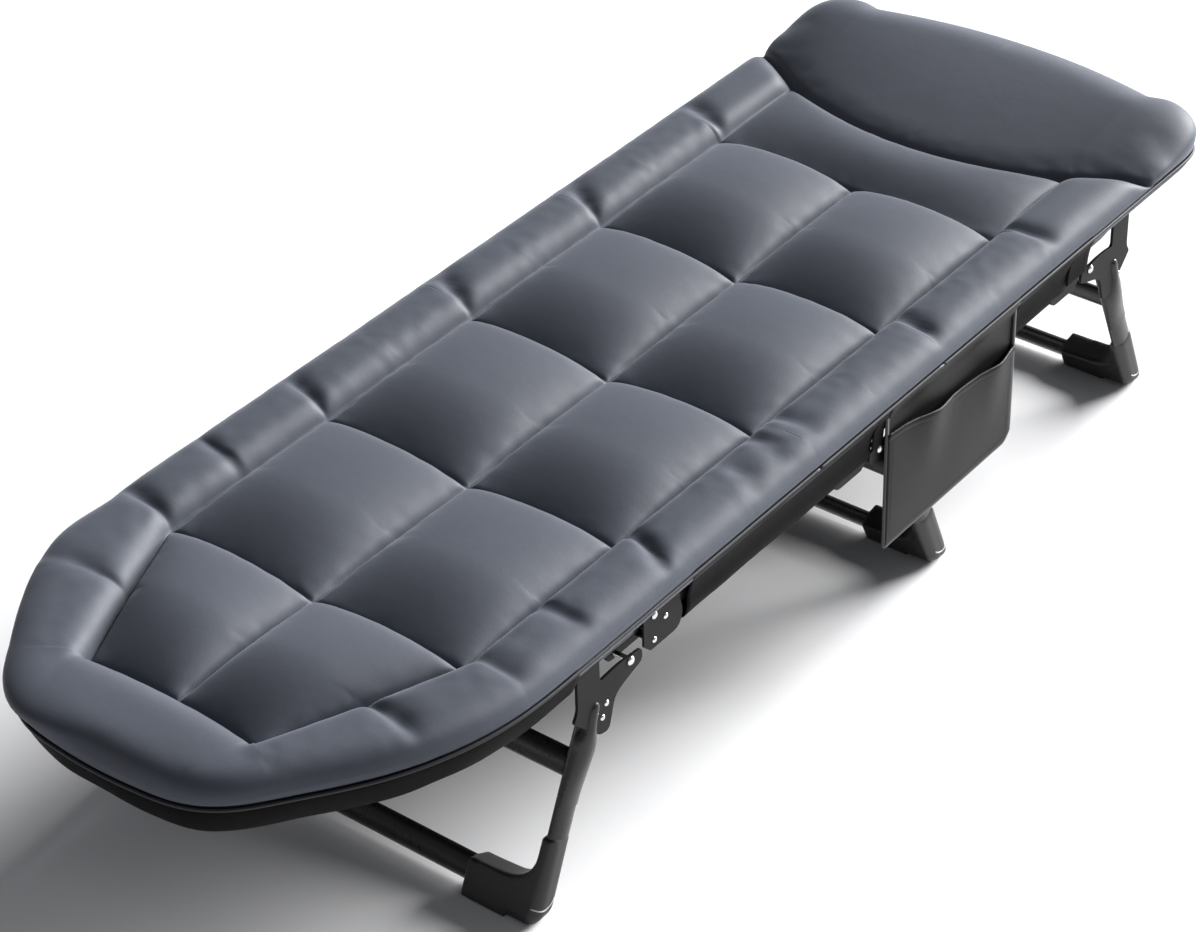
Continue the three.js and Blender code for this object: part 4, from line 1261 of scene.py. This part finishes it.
def strip(name, line, outward, width, thickness=BINDING_THICKNESS):
    """Binding tape folded over an edge: a rounded flat tube that follows a line of 3-D points."""
    line, outward = np.asarray(line, float), np.asarray(outward, float)
    made, flat = [], []
    for point, tangent, length in zip(line, np.gradient(line, axis=0), path_lengths(line)):
        sideways = np.cross(tangent, outward)
        sideways *= width / np.linalg.norm(sideways)
        for k, (across, up) in enumerate(BINDING_RING):
            made.append(point + sideways * across + outward * up * thickness / 2)
            flat.append((length, k * BINDING_WRAP))
    piece = new_mesh(name, made, grid_faces(len(line), len(BINDING_RING), True), flat)
    face_outwards(piece, fill_holes=True)
    return piece


def make_pocket_sheet(name, points, flat):
    """One sheet of the pocket, as thick as its cloth."""
    sheet = new_mesh(name, points.reshape(-1, 3), grid_faces(*points.shape[:2]), flat.reshape(-1, 2))
    thicken(sheet)
    return sheet


def binding_line(back, front):
    """Down the back sheet's foot edge, along the bottom between both sheets, and up its head edge."""
    line = np.vstack([back[::-1, 0], back[0, 1:], back[1:, -1]])
    last = len(line) - 1
    between = 0.5 * (back[0, :, 0] + front[0, :, 0]).mean()
    behind = POCKET_LOW.x + BINDING_INSET
    stations = (0, BINDING_START, BINDING_FULL, last - BINDING_BACK, last)
    line[:, 0] = np.interp(np.arange(len(line)), stations, (behind, behind, between, between, behind))
    return soften(line, 1)


def make_pocket():
    """An open bag of two sheets, sewn under the piping, with a bound edge and a stitched hem."""
    back_points, back_flat = pocket_grid(lambda u: POCKET_BACK_TOP, back_bulge)
    front_points, front_flat = pocket_grid(rim_height, front_bulge)
    back = make_pocket_sheet("pocket_back_sheet", back_points, back_flat)
    front = make_pocket_sheet("pocket_front_sheet", front_points, front_flat)
    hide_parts("pocket_back")
    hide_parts("pocket_front", "pocket_gusset_foot", "pocket_gusset_bottom", "pocket_gusset_head")
    outward = (1.0, 0.0, 0.0)
    rim = front_points[-1]
    binding = strip("pocket_binding", binding_line(back_points, front_points), outward, BINDING_WIDTH)
    hem = strip("pocket_hem", rim - (0, 0, HEM_DROP), outward, HEM_WIDTH)
    inside = front_points[2:-1, 2:-2]
    rows = [inside[::-1, 0], inside[0], inside[:, -1], rim - (0, 0, HEM_STITCH_DROP)]
    stitches = stitch_mesh("pocket_stitches", [(row + (POCKET_STITCH_LIFT, 0, 0), [outward] * len(row))
                                               for row in rows])
    for piece, material in ((back, "pocket"), (front, "pocket"), (binding, "binding"), (hem, "pocket"),
                            (stitches, "thread")):
        paint(piece, material)
        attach(piece, "main_section")


make_pocket()

# ------------------------------------------------------------------ rivets


def rivet_dome():
    """Points of a dome turned about +X, ring by ring, and its faces."""
    rings = len(RIVET_PROFILE)
    angle = np.arange(RIVET_SIDES) * 2 * np.pi / RIVET_SIDES
    circle = np.stack([np.zeros(RIVET_SIDES), np.cos(angle), np.sin(angle)], axis=1)
    dome = np.vstack([radius * circle + (height, 0, 0) for height, radius in RIVET_PROFILE])
    index = np.arange(len(dome)).reshape(rings, RIVET_SIDES).tolist()
    return dome, [*grid_faces(rings, RIVET_SIDES, True).tolist(), index[0], index[-1]]


def make_rivets():
    """Domed rivet heads on the outer faces of the brackets and leg plates, one mesh for each body."""
    foot_pivot = HINGES["foot_leg_fold"]
    places = {"main_section": [(BRACKET_FACE_X, foot_pivot.y + along, z) for along, z in BRACKET_RIVETS]}
    for leg, spots in PLATE_RIVETS.items():
        pivot = HINGES[f"{leg}_fold"]
        places[leg] = [(PLATE_FACE_X, pivot.y + y, pivot.z + z) for y, z in spots]
    dome, dome_faces = rivet_dome()
    for body, spots in places.items():
        verts, faces = [], []
        for x, y, z in spots:
            for side in (1, -1):
                faces += [[len(verts) + k for k in face] for face in dome_faces]
                verts += list(dome * (side, 1, 1) + (side * x, y, z))
        piece = new_mesh(f"rivets_{body}", verts, faces)
        face_outwards(piece)
        paint(piece, "steel")
        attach(piece, body)


make_rivets()

# ------------------------------------------------------------------ leg tubes over their plates


def long_axis(points):
    """Direction, upwards, from the middle of the points' lower half to the middle of their upper half."""
    upper = points[:, 1] > points[:, 1].mean()
    axis = points[upper].mean(axis=0) - points[~upper].mean(axis=0)
    return axis / np.linalg.norm(axis)


def tube_head_points(tube, sign):
    """Surface points of one tube's head, row by row along the tube. tube is the tube's points in (y, z)."""
    middle = 0.5 * (tube.min(axis=0) + tube.max(axis=0))
    axis = long_axis(tube)
    wide = np.array([axis[1], -axis[0]])
    points = []
    for s in TUBE_HEAD_STATIONS:
        past = max(0.0, (s - TUBE_HEAD_NOSE[0]) / TUBE_HEAD_NOSE[1])
        nose = math.sqrt(max(0.0, 1 - past ** 2))
        top = lerp(TUBE_FACE_X, TUBE_HEAD_FACE_X, ramp_up(s, *TUBE_HEAD_CLIMB))
        half = lerp(TUBE_HALF_WIDTH, TUBE_HEAD_HALF_WIDTH, ramp_up(s, *TUBE_HEAD_TAPER))
        drift = -np.sign(axis[0]) * TUBE_HEAD_DRIFT * ramp_up(s, *TUBE_HEAD_TURN)
        for t in np.linspace(0, math.pi, TUBE_HEAD_COLUMNS):
            x = TUBE_HEAD_BASE_X + (top - TUBE_HEAD_BASE_X) * math.sin(t) ** TUBE_HEAD_FULLNESS * nose
            place = middle + axis * s + wide * (math.cos(t) * half * nose + drift)
            points.append((sign * x, *place))
    return points


def make_tube_heads():
    """The top of each leg tube bulges out over its plate and ends in a round nose."""
    for leg, (side, sign) in LEG_SIDES:
        tube = points_of(frame["nodes"][f"{leg}_tube_{side}"])[:, 1:]
        faces = grid_faces(len(TUBE_HEAD_STATIONS), TUBE_HEAD_COLUMNS)
        piece = new_mesh(f"{leg}_tube_head_{side}", tube_head_points(tube, sign), faces)
        face_outwards(piece)
        paint(piece, "tube")
        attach(piece, leg)


make_tube_heads()

# ------------------------------------------------------------------ moulded feet


def round_foot(foot, sign):
    """Rounds a foot's outer bottom corners and edges to one radius. The foot leans, so its sides are found
    from where it stands at each height."""
    points = points_of(foot)
    heights = points[:, 2]
    toe, neck = points[heights < FOOT_TOE_Z].mean(axis=0), points[heights > FOOT_NECK_Z].mean(axis=0)
    lean = (neck[1] - toe[1]) / (neck[2] - toe[2])
    along = points[:, 1] - lean * heights
    depth = (points[:, 0] * sign).max() - points[:, 0] * sign
    outside = depth < FOOT_OUTER_REACH
    y0, y1 = along[outside].min(), along[outside].max()
    gaps = np.stack([depth, along - y0, y1 - along, heights - heights.min()], axis=1)
    inward = np.clip(FOOT_ROUND - gaps, 0, None)
    far = np.linalg.norm(inward, axis=1)
    scale = np.where(outside & (far > FOOT_ROUND), FOOT_ROUND / np.maximum(far, 1e-9), 1)
    shift = inward * (1 - scale[:, None])
    points += np.stack([-shift[:, 0] * sign, shift[:, 1] - shift[:, 2], shift[:, 3]], axis=1)
    set_points(foot, points)


def make_foot_line(name, foot, sign):
    """Painted highlight: a thin bright strip that curves round a foot's outer face just above its rounded
    bottom.
    """
    tree = surface_tree(foot)
    points = points_of(foot)
    depth = (points[:, 0] * sign).max() - points[:, 0] * sign
    middle = points[(points[:, 2] < FOOT_LINE_BAND[0]) & (depth < FOOT_LINE_BAND[1]), 1].mean()
    line = []
    for t in np.linspace(-1, 1, FOOT_LINE_POINTS):
        y, z = middle + FOOT_LINE_HALF * t, FOOT_LINE_Z + FOOT_LINE_RISE * t * t
        hit = tree.ray_cast(Vector((sign * OUTSIDE_X, y, z)), Vector((-sign, 0, 0)))[0]
        if hit is not None:
            line.append(hit)
    piece = strip(name, line, (sign, 0, 0), FOOT_LINE_WIDTH, FOOT_LINE_THICKNESS)
    paint(piece, "inlay")
    return piece


def make_feet():
    """Each foot as one smooth moulding, grown from the CAD foot, with a painted highlight, a thin bright
    strip, round its outside.
    """
    for leg, (side, sign) in LEG_SIDES:
        source = frame["nodes"][f"{leg}_foot_{side}"]
        foot = new_object(f"{leg}_moulding_{side}", source.data.copy())
        remesh = foot.modifiers.new("remesh", "REMESH")
        remesh.mode = "VOXEL"
        remesh.voxel_size = FOOT_VOXEL
        smooth = foot.modifiers.new("smooth", "SMOOTH")
        smooth.factor = 0.5
        smooth.iterations = FOOT_SMOOTH_PASSES
        apply_modifiers(foot)
        round_foot(foot, sign)
        smooth_faces(foot.data)
        paint(foot, "plastic")
        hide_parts(source.name)
        line = make_foot_line(f"{leg}_line_{side}", foot, sign)
        for piece in (foot, line):
            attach(piece, leg)


make_feet()

# ------------------------------------------------------------------ CAD hardware that stays

def finish_hardware():
    """Better paint on the CAD's tubes, plates and pins, rounded edges, and smooth shading between them."""
    for node in frame["nodes"].values():
        slot = node.data.materials[0].name.split(".")[0]
        if slot not in NODE_MATERIALS:
            continue
        node.material_slots[0].material = MATERIALS[NODE_MATERIALS[slot]]
        smooth_faces(node.data)
        node.modifiers.new("weld", "WELD").merge_threshold = TINY
        bevel = node.modifiers.new("edges", "BEVEL")
        bevel.width = EDGE_RADIUS
        bevel.segments = EDGE_SEGMENTS
        bevel.angle_limit = EDGE_ANGLE
        normals = node.modifiers.new("normals", "WEIGHTED_NORMAL")
        normals.keep_sharp = False


finish_hardware()

# ------------------------------------------------------------------ floor, light and camera


def make_camera():
    """Looks at the bed from its right side, past the foot, from above."""
    camera = new_object("camera", bpy.data.cameras.new("camera"))
    a, e, roll = CAMERA_AZIMUTH, CAMERA_ELEVATION, CAMERA_ROLL
    back = Vector((math.sin(a) * math.cos(e), -math.cos(a) * math.cos(e), math.sin(e)))
    right = (-back).cross(Vector((0, 0, 1))).normalized()
    up = right.cross(-back)
    rolled_right = right * math.cos(roll) + up * math.sin(roll)
    rolled_up = up * math.cos(roll) - right * math.sin(roll)
    turn = Matrix((rolled_right, rolled_up, back)).transposed().to_4x4()
    camera.matrix_world = Matrix.Translation(CAMERA_PLACE) @ turn
    camera.data.sensor_width = SENSOR_WIDTH
    camera.data.lens = FOCAL_PIXELS * SENSOR_WIDTH / IMAGE_WIDTH
    bpy.context.scene.camera = camera


def make_key_light():
    """A wide, even light from low behind the head."""
    light = bpy.data.lights.new("key", "SUN")
    light.energy = KEY_STRENGTH
    light.angle = KEY_SPREAD
    key = new_object("key", light)
    key.location = KEY_FROM
    key.rotation_mode = "QUATERNION"
    key.rotation_quaternion = (-KEY_FROM).to_track_quat("-Z", "Y")


def make_stage():
    """A plain pale floor under an evenly lit sky, and the key light."""
    corners = [(FLOOR_HALF * x, FLOOR_HALF * y, 0) for x, y in ((-1, -1), (1, -1), (1, 1), (-1, 1))]
    floor = new_mesh("floor", corners, [(0, 1, 2, 3)])
    nodes = Nodes("pale_floor")
    clouds = nodes.noise(nodes.place(fabric=False), 3.0)
    tone = nodes.ramp(clouds, [(0.3, (0.86, 0.86, 0.87, 1)), (0.7, (0.90, 0.90, 0.90, 1))])
    floor.data.materials.append(nodes.finish(tone, Roughness=0.9))
    world = bpy.data.worlds.new("studio")
    world.use_nodes = True
    sky = world.node_tree.nodes["Background"].inputs
    sky["Color"].default_value = SKY_COLOUR
    sky["Strength"].default_value = SKY_STRENGTH
    bpy.context.scene.world = world
    bpy.context.scene.view_settings.view_transform = "Standard"
    make_key_light()


make_camera()
make_stage()
